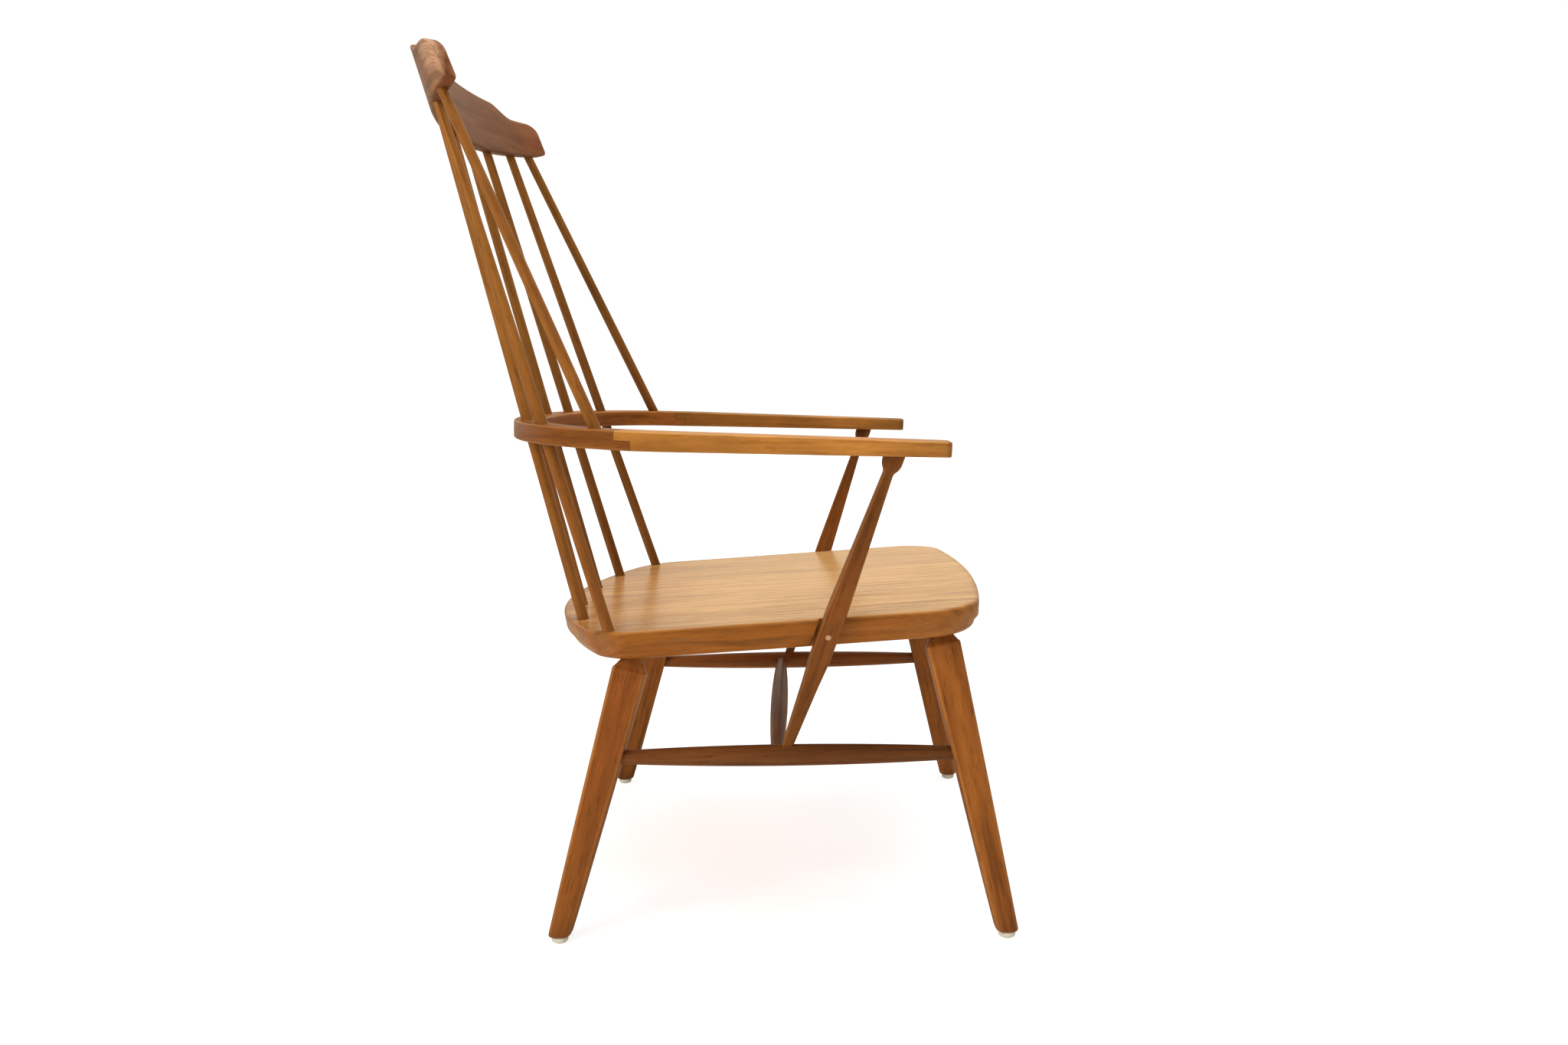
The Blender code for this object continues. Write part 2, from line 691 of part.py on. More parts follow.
def on_arm_underside(point, axis):
    """Slide a point along the post until it lies just below the arm's underside."""
    slope = math.tan(RAIL_TILT) + (RAIL_THICKNESS - ARM_FRONT_THICKNESS) / (ARM_FRONT_Y - RAIL_JOINT_Y)
    underside = rail_top(POST_HEAD_Y) - rail_thickness(POST_HEAD_Y) / math.cos(RAIL_TILT)
    level = underside + slope * (point.y - POST_HEAD_Y) - CLEARANCE
    return point + axis * ((level - point.z) / (axis.z - slope * axis.y))


def make_post(side_name, seat, arm, stretcher):
    """A flat tapered post from the side stretcher, past a notch in the seat, to the arm."""
    side = SIDES[side_name]
    post = loft(f"arm_post_{side_name}", post_rings(side, 0.0, 0.0), "leg_wood")
    cut(seat, loft(f"post_notch_{side_name}", post_rings(side, CLEARANCE, POST_NOTCH_EASE), None))
    mortise = loft(f"post_mortise_{side_name}", post_rings(side, CLEARANCE, 0.0), None)
    cut(arm, mortise)
    cut(stretcher, mortise)
    return post


def make_screw_and_plug(side_name, seat, post):
    """A countersunk screw from the post into the seat's edge, under a wooden plug."""
    side = SIDES[side_name]
    foot, head = post_line(side)
    height = between(seat_top(0.0), seat_underside(0.0), 0.5) + 0.003
    share = (height - foot.z) / (head.z - foot.z)
    centre = foot + (head - foot) * share
    outer = centre + Vector((side * (POST_SEAT_WIDTH / 2 - PLUG_RECESS), 0, 0))
    inner = outer - Vector((side, 0, 0))
    under_plug = PLUG_THICKNESS + CLEARANCE
    under_head = under_plug + SCREW_HEAD_LENGTH
    tip = under_plug + SCREW_LENGTH
    plug_stations = [(0.0, PLUG_RADIUS), (PLUG_THICKNESS, PLUG_RADIUS)]
    screw_stations = [
        (under_plug, SCREW_HEAD_RADIUS),
        (under_plug + 0.0008, SCREW_HEAD_RADIUS),
        (under_head, SCREW_SHANK_RADIUS),
        (tip - 0.005, SCREW_SHANK_RADIUS),
        (tip, 0.0006),
    ]
    plug_bore = bored(plug_stations, PLUG_THICKNESS)
    screw_bore = grown(screw_stations, CLEARANCE)
    plug_hole = turned(f"plug_hole_{side_name}", outer, inner, plug_bore, None)
    screw_hole = turned(f"screw_hole_{side_name}", outer, inner, screw_bore, None, sides=10)
    cut(post, plug_hole)
    cut(post, screw_hole)
    cut(seat, screw_hole)
    turned(f"screw_{side_name}", outer, inner, screw_stations, "screw_steel", sides=10)
    turned(f"plug_{side_name}", outer, inner, plug_stations, "plug_wood")


def bored(stations, lead_in):
    """A hole for the stations that runs out into the open before them."""
    radius = stations[0][1] + CLEARANCE
    return [(stations[0][0] - lead_in, radius), (stations[-1][0] + CLEARANCE, radius)]


# Spindles and crest
def seat_foot(spread, back_inset):
    """Foot of a long spindle on the seat's top face, in from the back edge."""
    y = seat_crown(spread, SEAT_BACK_CORNER_Y) - back_inset
    return Vector((spread, y, seat_top(y)))


def through_rail(foot, rail_spread, height):
    """Point at a height on the line from a foot through the middle of the rail."""
    y = rail_back_y(rail_spread)
    crossing = Vector((rail_spread, y, rail_top(y) - RAIL_THICKNESS / 2))
    return foot + (crossing - foot) * ((height - foot.z) / (crossing.z - foot.z))


LONG_SPINDLES = {
    "inner": (INNER_SEAT_SPREAD, INNER_SEAT_INSET, INNER_RAIL_SPREAD),
    "middle": (MIDDLE_SEAT_SPREAD, MIDDLE_SEAT_INSET, MIDDLE_RAIL_SPREAD),
    "outer": (OUTER_SEAT_SPREAD, OUTER_SEAT_INSET, OUTER_RAIL_SPREAD),
}


def crest_sag(spread):
    """How far the crest's middle surface lies in front of its centre, in plan."""
    return CREST_CURVE_DEPTH * (1 - math.sqrt(1 - (spread / CREST_CURVE_HALF_WIDTH) ** 2))


def crest_layout():
    """Back Y of the crest and its rake, laid out from the lines of the long spindles."""
    backs = []
    rakes = {}
    for name, (seat_spread, back_inset, rail_spread) in LONG_SPINDLES.items():
        foot = seat_foot(seat_spread, back_inset)
        top = through_rail(foot, rail_spread, CREST_BOTTOM)
        backs.append(top.y + crest_sag(top.x))
        rakes[name] = (top.y - foot.y) / (top.z - foot.z)
        outer_spread = top.x
    return sum(backs) / len(backs), rakes["inner"], (rakes["outer"] - rakes["inner"]) / outer_spread ** 2


CREST_BACK_Y, CREST_RAKE, CREST_RAKE_GAIN = crest_layout()


def crest_rake(spread):
    """Backward lean of the crest at a given spread from the middle."""
    return CREST_RAKE + CREST_RAKE_GAIN * spread ** 2


def crest_middle(spread, height):
    """Point on the crest's middle surface."""
    y = CREST_BACK_Y - crest_sag(spread) + crest_rake(spread) * (height - CREST_BOTTOM)
    return Vector((spread, y, height))


def crest_bottom_height(spread):
    """Height of the crest's lower edge, which rises to the ears."""
    height = CREST_BOTTOM + CREST_END_RISE * (spread / CREST_HALF_SPAN) ** 2
    return height + 0.3 * ear_rounding(spread)


def crest_top_height(spread):
    """Height of the crest's upper edge: a hump that drops through a curve to the ears."""
    drop = blend((abs(spread) - CREST_HUMP_END) / (CREST_EAR_START - CREST_HUMP_END))
    return between(CREST_TOP, CREST_EAR_TOP, drop) - ear_rounding(spread)


def ear_rounding(spread):
    """How far the round end of an ear falls away."""
    past = abs(spread) - (CREST_HALF_SPAN - CREST_EAR_ROUND)
    share = min(max(past / CREST_EAR_ROUND, 0.0), 1.0)
    return CREST_EAR_ROUND * (1 - math.sqrt(1 - share ** 2))


def make_crest():
    """The curved crest rail, lofted from ear to ear."""
    half = [CREST_HALF_SPAN * step / 22 for step in range(21)]
    half += [CREST_HALF_SPAN - CREST_EAR_ROUND * (1 - share) for share in (0.45, 0.75, 0.93, 1.0)]
    spreads = [-spread for spread in reversed(half[1:])] + half
    rings = []
    for spread in spreads:
        low, high = crest_bottom_height(spread), crest_top_height(spread)
        centre = crest_middle(spread, (low + high) / 2)
        slope = CREST_CURVE_DEPTH * spread / CREST_CURVE_HALF_WIDTH ** 2
        slope /= math.sqrt(1 - (spread / CREST_CURVE_HALF_WIDTH) ** 2)
        across = Vector((slope, 1, 0)).normalized()
        up = Vector((0, crest_rake(spread), 1))
        half_height = (high - low) / 2
        ring = section(centre, across, up, CREST_THICKNESS / 2, half_height, CREST_EDGE_ROUND)
        rings.append(ring)
    return loft("crest_rail", rings, "crest_wood")


def spindle_stations(length, rail_place, start_radius):
    """Stations of a spindle that thins from the rail to the crest, with chamfered ends."""
    chamfer = SPINDLE_END_CHAMFER
    return [
        (0.0, start_radius - chamfer),
        (chamfer, start_radius),
        (rail_place, SPINDLE_RAIL_RADIUS),
        (length - chamfer, SPINDLE_CREST_RADIUS),
        (length, SPINDLE_CREST_RADIUS - chamfer),
    ]


def crest_end(foot, crest_spread, side):
    """Where a spindle's line ends inside the crest."""
    mouth = crest_middle(crest_spread, crest_bottom_height(crest_spread))
    mouth.x *= side
    direction = (mouth - foot).normalized()
    return mouth + direction * SPINDLE_CREST_SOCKET, direction


def make_long_spindle(name, side_name, seat, bow, crest):
    """A spindle from the seat through the bow into the crest."""
    side = SIDES[side_name]
    seat_spread, back_inset, rail_spread = LONG_SPINDLES[name]
    foot = seat_foot(seat_spread, back_inset)
    crest_spread = through_rail(foot, rail_spread, CREST_BOTTOM).x
    foot.x *= side
    top, direction = crest_end(foot, crest_spread, side)
    base = foot - direction * SPINDLE_SEAT_SOCKET
    length = (top - base).length
    rail_place = length * (RAIL_HEIGHT - base.z) / (top.z - base.z)
    stations = spindle_stations(length, rail_place, SPINDLE_SEAT_RADIUS)
    hole = turned(f"spindle_hole_{name}_{side_name}", base, top, grown(stations, CLEARANCE), None)
    for target in (seat, bow, crest):
        cut(target, hole)
    return turned(f"spindle_{name}_{side_name}", base, top, stations, "spindle_wood")


def make_short_spindle(side_name, bow, crest):
    """A spindle from the top of the bow into an ear of the crest."""
    side = SIDES[side_name]
    spread = RAIL_HALF_SPAN - SHORT_RAIL_INSET
    y = rail_back_y(spread)
    foot = Vector((side * spread, y, rail_top(y)))
    top, direction = crest_end(foot, SHORT_CREST_SPREAD, side)
    base = foot - direction * SHORT_SPINDLE_SOCKET
    length = (top - base).length
    stations = spindle_stations(length, length * 0.3, SPINDLE_RAIL_RADIUS)
    hole = turned(f"short_hole_{side_name}", base, top, grown(stations, CLEARANCE), None)
    for target in (bow, crest):
        cut(target, hole)
    return turned(f"spindle_short_{side_name}", base, top, stations, "spindle_wood")


# Whole chair
def centre_over_origin():
    """Move the chair so that the box round it stands centred on the origin."""
    bpy.context.view_layer.update()
    graph = bpy.context.evaluated_depsgraph_get()
    depths = []
    for piece in PARTS.objects:
        if piece.type == "MESH":
            solid = piece.evaluated_get(graph)
            depths += [(solid.matrix_world @ vertex.co).y for vertex in solid.data.vertices]
    CHAIR.location.y = -(min(depths) + max(depths)) / 2


def build_chair():
    """Make every piece and cut the joints between them."""
    seat = make_seat()
    arms, bow = make_rail()
    crest = make_crest()
    side_stretchers = []
    for side_name in SIDES:
        legs = {}
        for end in ("front", "rear"):
            legs[end] = make_leg(end, side_name, seat)
            make_glide(end, side_name, legs[end])
        stretcher = make_side_stretcher(side_name, legs["front"], legs["rear"])
        side_stretchers.append(stretcher)
        post = make_post(side_name, seat, arms[side_name], stretcher)
        make_screw_and_plug(side_name, seat, post)
        for name in LONG_SPINDLES:
            make_long_spindle(name, side_name, seat, bow, crest)
        make_short_spindle(side_name, bow, crest)
    make_cross_stretcher(side_stretchers)
    centre_over_origin()


build_chair()
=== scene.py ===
"""Looks of a comb-back spindle armchair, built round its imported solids.

The chair faces -Y with Z up, in metres. Each sub-assembly is a class that holds its sizes and builds its
wooden pieces with softened edges and a grain that runs along each piece.
"""

import logging
import math
from dataclasses import dataclass, field
from enum import Enum
from typing import Iterable, Sequence

import bmesh
import bpy
from mathutils import Matrix, Vector


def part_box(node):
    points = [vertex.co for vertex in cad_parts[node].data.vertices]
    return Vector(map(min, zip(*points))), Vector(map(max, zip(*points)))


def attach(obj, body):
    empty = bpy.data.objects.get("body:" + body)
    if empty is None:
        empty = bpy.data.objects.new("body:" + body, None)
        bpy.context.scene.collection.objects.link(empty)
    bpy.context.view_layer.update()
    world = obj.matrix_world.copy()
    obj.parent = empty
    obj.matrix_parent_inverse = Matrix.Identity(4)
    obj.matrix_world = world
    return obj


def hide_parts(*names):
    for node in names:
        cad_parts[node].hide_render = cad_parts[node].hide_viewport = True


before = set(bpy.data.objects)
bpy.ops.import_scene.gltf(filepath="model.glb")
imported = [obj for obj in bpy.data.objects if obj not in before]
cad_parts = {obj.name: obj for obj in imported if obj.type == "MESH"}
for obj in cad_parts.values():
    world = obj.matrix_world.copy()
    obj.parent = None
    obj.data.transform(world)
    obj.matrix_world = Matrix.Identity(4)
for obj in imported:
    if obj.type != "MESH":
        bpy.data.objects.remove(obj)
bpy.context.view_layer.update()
LOG = logging.getLogger("armchair")
Colour = tuple[float, float, float, float]
CORNER_STEPS = 7
FIT_ROUNDS = 4
CLEARANCE = 0.0003
SHARP_EDGE = math.radians(38.0)
WELD = 0.000002
GRAIN_STEP = (0.731, 0.313, 0.577)
SEAT_SEED = 3
SEAT_JOINT = -0.062
GRAIN = "grain"
TONE = "tone"
WEAR = "wear"


class Side(Enum):
    """The two sides of the chair, seen by the sitter, with the sign of X on each."""

    LEFT = 1
    RIGHT = -1

    @property
    def word(self) -> str:
        """Name of the side as the solids use it."""
        return self.name.lower()


class End(Enum):
    """The two ends of the seat."""

    FRONT = "front"
    REAR = "rear"


class Slot(Enum):
    """The material slots of the record."""

    SEAT = "seat_wood"
    LEG = "leg_wood"
    STRETCHER = "stretcher_wood"
    ARM = "arm_wood"
    BOW = "bow_wood"
    SPINDLE = "spindle_wood"
    CREST = "crest_wood"
    PLUG = "plug_wood"
    GLIDE = "glide_plastic"
    SCREW = "screw_steel"


def linear(red: float, green: float, blue: float) -> Colour:
    """A screen colour from 0 to 255 as a linear colour.

    Args:
        red: Red of the colour.
        green: Green of the colour.
        blue: Blue of the colour.

    Returns:
        The linear colour with full alpha.
    """
    parts = []
    for value in (red, green, blue):
        share = value / 255
        parts.append(share / 12.92 if share <= 0.04045 else ((share + 0.055) / 1.055) ** 2.4)
    return parts[0], parts[1], parts[2], 1.0


def grain_shift(seed: int) -> tuple[float, float, float]:
    """Where in the wood a piece is cut, so that no two pieces share a pattern."""
    return GRAIN_STEP[0] * seed, GRAIN_STEP[1] * seed, GRAIN_STEP[2] * seed


def between(start: float, stop: float, share: float) -> float:
    """The value that lies the given share of the way from start to stop."""
    return start + (stop - start) * share


def blend(share: float) -> float:
    """A smooth step from 0 to 1."""
    share = min(max(share, 0.0), 1.0)
    return share * share * (3 - 2 * share)


class Value:
    """A number socket of a node tree that can be used in plain arithmetic."""

    def __init__(self, graph: "Graph", socket: bpy.types.NodeSocket) -> None:
        """Keep the graph and the socket."""
        self.graph = graph
        self.socket = socket

    def maths(self, operation: str, *others: "Value | float") -> "Value":
        """Add a Math node whose first number is this one.

        Args:
            operation: The Math node's operation.
            others: The node's other numbers.

        Returns:
            The node's result.
        """
        inputs = dict(enumerate((self, *others)))
        node = self.graph.add("ShaderNodeMath", {"operation": operation}, inputs)
        return Value(self.graph, node.outputs[0])

    def __add__(self, other: "Value | float") -> "Value":
        """Sum."""
        return self.maths("ADD", other)

    __radd__ = __add__

    def __sub__(self, other: "Value | float") -> "Value":
        """Difference."""
        return self.maths("SUBTRACT", other)

    def __rsub__(self, other: float) -> "Value":
        """Difference from a plain number."""
        return self.maths("MULTIPLY_ADD", -1.0, other)

    def __mul__(self, other: "Value | float") -> "Value":
        """Product."""
        return self.maths("MULTIPLY", other)

    __rmul__ = __mul__

    def __truediv__(self, other: "Value | float") -> "Value":
        """Quotient."""
        return self.maths("DIVIDE", other)

    def __pow__(self, other: "Value | float") -> "Value":
        """Power."""
        return self.maths("POWER", other)

    def __rtruediv__(self, other: float) -> "Value":
        """Quotient of a plain number."""
        return (self * 0.0 + other).maths("DIVIDE", self)

    def ramp(self, low: "Value | float", high: "Value | float") -> "Value":
        """A share that rises smoothly from 0 at low to 1 at high."""
        inputs = {"Value": self, "From Min": low, "From Max": high}
        node = self.graph.add("ShaderNodeMapRange", {"interpolation_type": "SMOOTHSTEP"}, inputs)
        return Value(self.graph, node.outputs[0])

    def above(self, low: float) -> "Value":
        """The share squeezed so that it runs from low to 1."""
        return self * (1.0 - low) + low


class Graph:
    """A node tree and the one method that adds nodes to it, with short names for the commonest."""

    def __init__(self, tree: bpy.types.NodeTree) -> None:
        """Keep the tree."""
        self.tree = tree

    def add(self, kind: str, settings: dict | None = None, inputs: dict | None = None) -> bpy.types.Node:
        """Add a node, set it up, and then fill or link its sockets.

        Args:
            kind: The node's type.
            settings: Properties of the node, set before its sockets.
            inputs: Values, sockets or Value objects, by socket name or number.

        Returns:
            The new node.
        """
        node = self.tree.nodes.new(kind)
        for name, setting in (settings or {}).items():
            setattr(node, name, setting)
        for name, source in (inputs or {}).items():
            self.feed(node.inputs[name], source)
        return node

    def feed(self, target: bpy.types.NodeSocket, source: object) -> None:
        """Link a socket or a Value to the target, or set the target to a plain value.

        Args:
            target: The socket that is fed.
            source: What it is fed with.
        """
        if isinstance(source, Value):
            source = source.socket
        if isinstance(source, bpy.types.NodeSocket):
            self.tree.links.new(source, target)
        else:
            target.default_value = source

    def value(self, socket: bpy.types.NodeSocket) -> Value:
        """Wrap a socket for arithmetic."""
        return Value(self, socket)

    def attribute(self, name: str, output: str = "Fac") -> bpy.types.NodeSocket:
        """Socket of a value that is kept on the piece."""
        return self.add("ShaderNodeAttribute", {"attribute_name": name}).outputs[output]

    def object_place(self) -> bpy.types.NodeSocket:
        """Socket of the Object coordinates."""
        return self.add("ShaderNodeTexCoord").outputs["Object"]

    def noise(self, place: object, scale: float, detail: float) -> Value:
        """Noise from 0 to 1 over some coordinates."""
        inputs = {"Vector": place, "Scale": scale, "Detail": detail}
        return self.value(self.add("ShaderNodeTexNoise", None, inputs).outputs[0])

    def mix(self, share: object, first: object, second: object, kind: str = "MIX") -> bpy.types.NodeSocket:
        """Mix two colours.

        Args:
            share: Share of the second colour.
            first: The first colour.
            second: The second colour.
            kind: How the second colour acts on the first.

        Returns:
            Socket of the mixed colour.
        """
        settings = {"data_type": "RGBA", "blend_type": kind, "clamp_factor": True}
        return self.add("ShaderNodeMix", settings, {0: share, 6: first, 7: second}).outputs[2]

    def join(self, x: object, y: object, z: object) -> bpy.types.NodeSocket:
        """Join three numbers into a vector."""
        return self.add("ShaderNodeCombineXYZ", None, {0: x, 1: y, 2: z}).outputs[0]

    def split(self, vector: object) -> list[Value]:
        """The three numbers of a vector."""
        return [self.value(socket) for socket in self.add("ShaderNodeSeparateXYZ", None, {0: vector}).outputs]

    def shifted(self, vector: object, shift: object) -> bpy.types.NodeSocket:
        """Sum of two vectors."""
        return self.add("ShaderNodeVectorMath", {"operation": "ADD"}, {0: vector, 1: shift}).outputs[0]

    def bump(self, strength: float, distance: float, height: Value) -> bpy.types.NodeSocket:
        """Normals of a finely uneven surface."""
        inputs = {"Strength": strength, "Distance": distance, "Height": height}
        return self.add("ShaderNodeBump", None, inputs).outputs[0]


def start_material(name: str) -> tuple[bpy.types.Material, Graph, bpy.types.Node]:
    """Start a material.

    Args:
        name: Name of the material.

    Returns:
        The material, its graph and its surface shader.
    """
    material = bpy.data.materials.new(name)
    material.use_nodes = True
    return material, Graph(material.node_tree), material.node_tree.nodes["Principled BSDF"]


@dataclass(frozen=True)
class Pattern:
    """Noise drawn out along the grain, with its features in a metre each way and the limits of its ramp."""

    along: float
    across: float
    detail: float
    low: float = 0.0
    high: float = 0.0
    roughness: float = 0.55

    def over(self, graph: Graph, grain: bpy.types.NodeSocket) -> Value:
        """Lay the pattern over a piece.

        Args:
            graph: The material's graph.
            grain: Socket of the grain coordinates.

        Returns:
            The noise from 0 to 1, or its ramp where the pattern has limits.
        """
        size = (self.along, self.across, self.across)
        scaled = graph.add("ShaderNodeVectorMath", {"operation": "MULTIPLY"}, {0: grain, 1: size}).outputs[0]
        inputs = {"Vector": scaled, "Scale": 1.0, "Detail": self.detail, "Roughness": self.roughness}
        noise = graph.value(graph.add("ShaderNodeTexNoise", {"noise_dimensions": "3D"}, inputs).outputs[0])
        return noise.ramp(self.low, self.high) if self.high else noise


@dataclass(frozen=True)
class WoodFinish:
    """Stained and waxed wood with streaks, growth lines, fibres and open pores."""

    name: str
    dark: Colour
    body: Colour
    light: Colour
    worn: Colour
    stain: Colour | None = None
    roughness: float = 0.40
    index: float = 1.45
    streaks: float = 0.75
    flecks: float = 0.45
    mottle: float = 0.60
    wander: float = 0.010
    line_count: float = 260.0
    lines: float = 0.30
    edge_lines: float = 0.0
    veins: float = 0.35
    smears: float = 0.0
    pores: float = 0.5
    wear: float = 0.8
    relief: float = 0.12
    board: float = 0.0
    board_start: float = 0.0

    SLOW_WANDER = Pattern(3.4, 11.0, 2.0)
    QUICK_WANDER = Pattern(14.0, 34.0, 2.0)
    BROAD = Pattern(2.2, 26.0, 2.0, 0.32, 0.68)
    REGION = Pattern(1.6, 9.0, 2.0, 0.36, 0.62)
    STREAK = Pattern(5.0, 150.0, 5.0, 0.44, 0.70)
    VEIN = Pattern(3.0, 330.0, 4.0, 0.60, 0.70)
    DRIFT = Pattern(2.6, 16.0, 2.0)
    PATCH = Pattern(3.0, 40.0, 2.0, 0.35, 0.7)
    FIBRE = Pattern(45.0, 1500.0, 3.0)
    PORE = Pattern(85.0, 2300.0, 2.0, 0.60, 0.72)
    FLECK = Pattern(48.0, 420.0, 3.0, 0.53, 0.70)
    CLOUD = Pattern(17.0, 60.0, 3.0)
    SMEAR = Pattern(3.2, 44.0, 2.0, 0.58, 0.70)
    THREAD = Pattern(7.0, 420.0, 3.0, 0.38, 0.62)
    DRIFT_WAVES = 22.0
    RING_SLANT = 0.9
    RING_POWER = 3.0
    PORE_TINT = (0.50, 0.42, 0.36, 1.0)
    WAX_TINT = (1.0, 0.72, 0.42, 1.0)
    FIBRE_TINT = 0.14
    FIBRE_ROUGHNESS = 0.16
    STREAK_ROUGHNESS = 0.06
    BOARD_SHADES = (0.88, 1.04)
    JOINT_EDGE = (0.490, 0.498)
    JOINT_DARKNESS = 0.35
    GRAIN_HEIGHT = 0.0005

    def wavy(self, graph: Graph, grain: bpy.types.NodeSocket) -> bpy.types.NodeSocket:
        """Let straight grain coordinates wander sideways, as the fibres of a real board do.

        Args:
            graph: The material's graph.
            grain: Socket of the straight grain coordinates.

        Returns:
            Socket of the wandering coordinates.
        """
        slow = (self.SLOW_WANDER.over(graph, grain) - 0.5) * (self.wander * 2.0)
        quick = (self.QUICK_WANDER.over(graph, grain) - 0.5) * (self.wander * 0.35)
        return graph.shifted(grain, graph.join(0.0, slow + quick, quick))

    def boards(self, graph: Graph, across: Value) -> Value:
        """Shade of the glued boards that lie side by side, with a thin dark line at each joint.

        Args:
            graph: The material's graph.
            across: Grain coordinate across the boards.

        Returns:
            The shade to multiply by.
        """
        place = (across - self.board_start) / self.board
        chance = graph.add("ShaderNodeTexWhiteNoise", {"noise_dimensions": "1D"}, {"W": place.maths("FLOOR")})
        low, high = self.BOARD_SHADES
        shade = graph.value(chance.outputs[0]) * (high - low) + low
        edge = (place.maths("FRACT") - 0.5).maths("ABSOLUTE").ramp(*self.JOINT_EDGE)
        return shade * (1.0 - edge * self.JOINT_DARKNESS)

    def growth(self, graph: Graph, grain: bpy.types.NodeSocket, across: Value) -> Value:
        """Thin growth lines, the more bent the more the wood drifts.

        Args:
            graph: The material's graph.
            grain: Socket of the grain coordinates.
            across: Grain coordinate across the lines.

        Returns:
            The lines, from 0 between them to 1 on them.
        """
        phase = across * self.line_count + self.DRIFT.over(graph, grain) * self.DRIFT_WAVES
        return (phase.maths("SINE") * 0.5 + 0.5) ** self.RING_POWER

    def smeared(self, graph: Graph, grain: bpy.types.NodeSocket, colour: object) -> bpy.types.NodeSocket:
        """Lay broad stained smears, made of thin threads, over a colour.

        Args:
            graph: The material's graph.
            grain: Socket of the grain coordinates.
            colour: The colour so far.

        Returns:
            Socket of the smeared colour.
        """
        thread = self.THREAD.over(graph, grain).above(0.25)
        return graph.mix(self.SMEAR.over(graph, grain) * thread * self.smears, colour, self.stain)

    def shade(self, graph: Graph, grain: bpy.types.NodeSocket, across: Value) -> bpy.types.NodeSocket:
        """Grey that the wood's colour is multiplied by: the piece's tone, mottled, and its boards.

        Args:
            graph: The material's graph.
            grain: Socket of the grain coordinates.
            across: Grain coordinate across the boards.

        Returns:
            Socket of the grey.
        """
        cloud = self.CLOUD.over(graph, grain) * self.mottle + (1.0 - self.mottle / 2)
        # The tone attribute holds each piece's brightness, including the painted light and shade laid on some
        # pieces.
        tone = graph.value(graph.attribute(TONE)) * cloud
        if self.board:
            tone = tone * self.boards(graph, across)
        return graph.add("ShaderNodeCombineColor", None, {0: tone, 1: tone, 2: tone}).outputs[0]

    def material(self) -> bpy.types.Material:
        """Build the finish.

        Returns:
            The material.
        """
        material, graph, shader = start_material(self.name)
        grain = self.wavy(graph, graph.attribute(GRAIN, "Vector"))
        wear = graph.value(graph.attribute(WEAR))
        _, across, deep = graph.split(grain)
        region = self.REGION.over(graph, grain)
        patch = self.PATCH.over(graph, grain)
        fibre = self.FIBRE.over(graph, grain)
        pore = self.PORE.over(graph, grain)
        streak = self.STREAK.over(graph, grain) * region.above(0.35)
        growth = self.growth(graph, grain, across + deep * self.RING_SLANT) * patch
        rings = growth * (1.0 + (1.0 - wear) * self.edge_lines) * self.lines
        rubbed = (wear * 1.25 - (1.0 - fibre.ramp(0.2, 0.8)) * 0.25 - patch * 0.1).maths("MAXIMUM", 0.0)
        vein = self.VEIN.over(graph, grain) * region
        colour = graph.mix(self.BROAD.over(graph, grain), self.body, self.light)
        colour = graph.mix(rubbed * self.wear, colour, self.worn)
        colour = graph.mix(streak * self.streaks, colour, self.dark)
        colour = graph.mix(rings, colour, self.dark)
        colour = graph.mix(self.FLECK.over(graph, grain) * self.flecks, colour, self.dark)
        colour = graph.mix(vein * self.veins, colour, self.stain or self.dark)
        if self.smears:
            colour = self.smeared(graph, grain, colour)
        colour = graph.mix(pore * self.pores, colour, self.PORE_TINT, "MULTIPLY")
        colour = graph.mix(fibre.ramp(0.3, 0.7) * self.FIBRE_TINT, colour, self.light)
        colour = graph.mix(1.0, colour, self.shade(graph, grain, across), "MULTIPLY")
        graph.feed(shader.inputs["Base Color"], colour)
        rough = fibre * self.FIBRE_ROUGHNESS + (self.roughness - self.FIBRE_ROUGHNESS / 2)
        rough = rough + streak * self.STREAK_ROUGHNESS - rubbed * self.STREAK_ROUGHNESS
        graph.feed(shader.inputs["Roughness"], rough)
        relief = fibre * 0.6 + pore * -0.9 + growth * -0.3
        graph.feed(shader.inputs["Normal"], graph.bump(self.relief, self.GRAIN_HEIGHT, relief))
        shader.inputs["IOR"].default_value = self.index
        shader.inputs["Specular Tint"].default_value = self.WAX_TINT
        return material


@dataclass(frozen=True)
class PlasticFinish:
    """Moulded plastic with faint mottling and scuffs."""

    name: str
    colour: Colour
    scuff: Colour
    roughness: float = 0.42

    CLOUD_SCALE = 220.0
    GRIT_SCALE = 1900.0
    SCUFFED = 0.6

    def material(self) -> bpy.types.Material:
        """Build the finish.

        Returns:
            The material.
        """
        material, graph, shader = start_material(self.name)
        place = graph.object_place()
        cloud = graph.noise(place, self.CLOUD_SCALE, 4.0)
        grit = graph.noise(place, self.GRIT_SCALE, 2.0)
        scuffed = cloud.ramp(0.5, 0.8) * self.SCUFFED
        graph.feed(shader.inputs["Base Color"], graph.mix(scuffed, self.colour, self.scuff))
        graph.feed(shader.inputs["Roughness"], grit * 0.2 + (self.roughness - 0.1))
        graph.feed(shader.inputs["Normal"], graph.bump(0.08, 0.0002, grit))
        return material


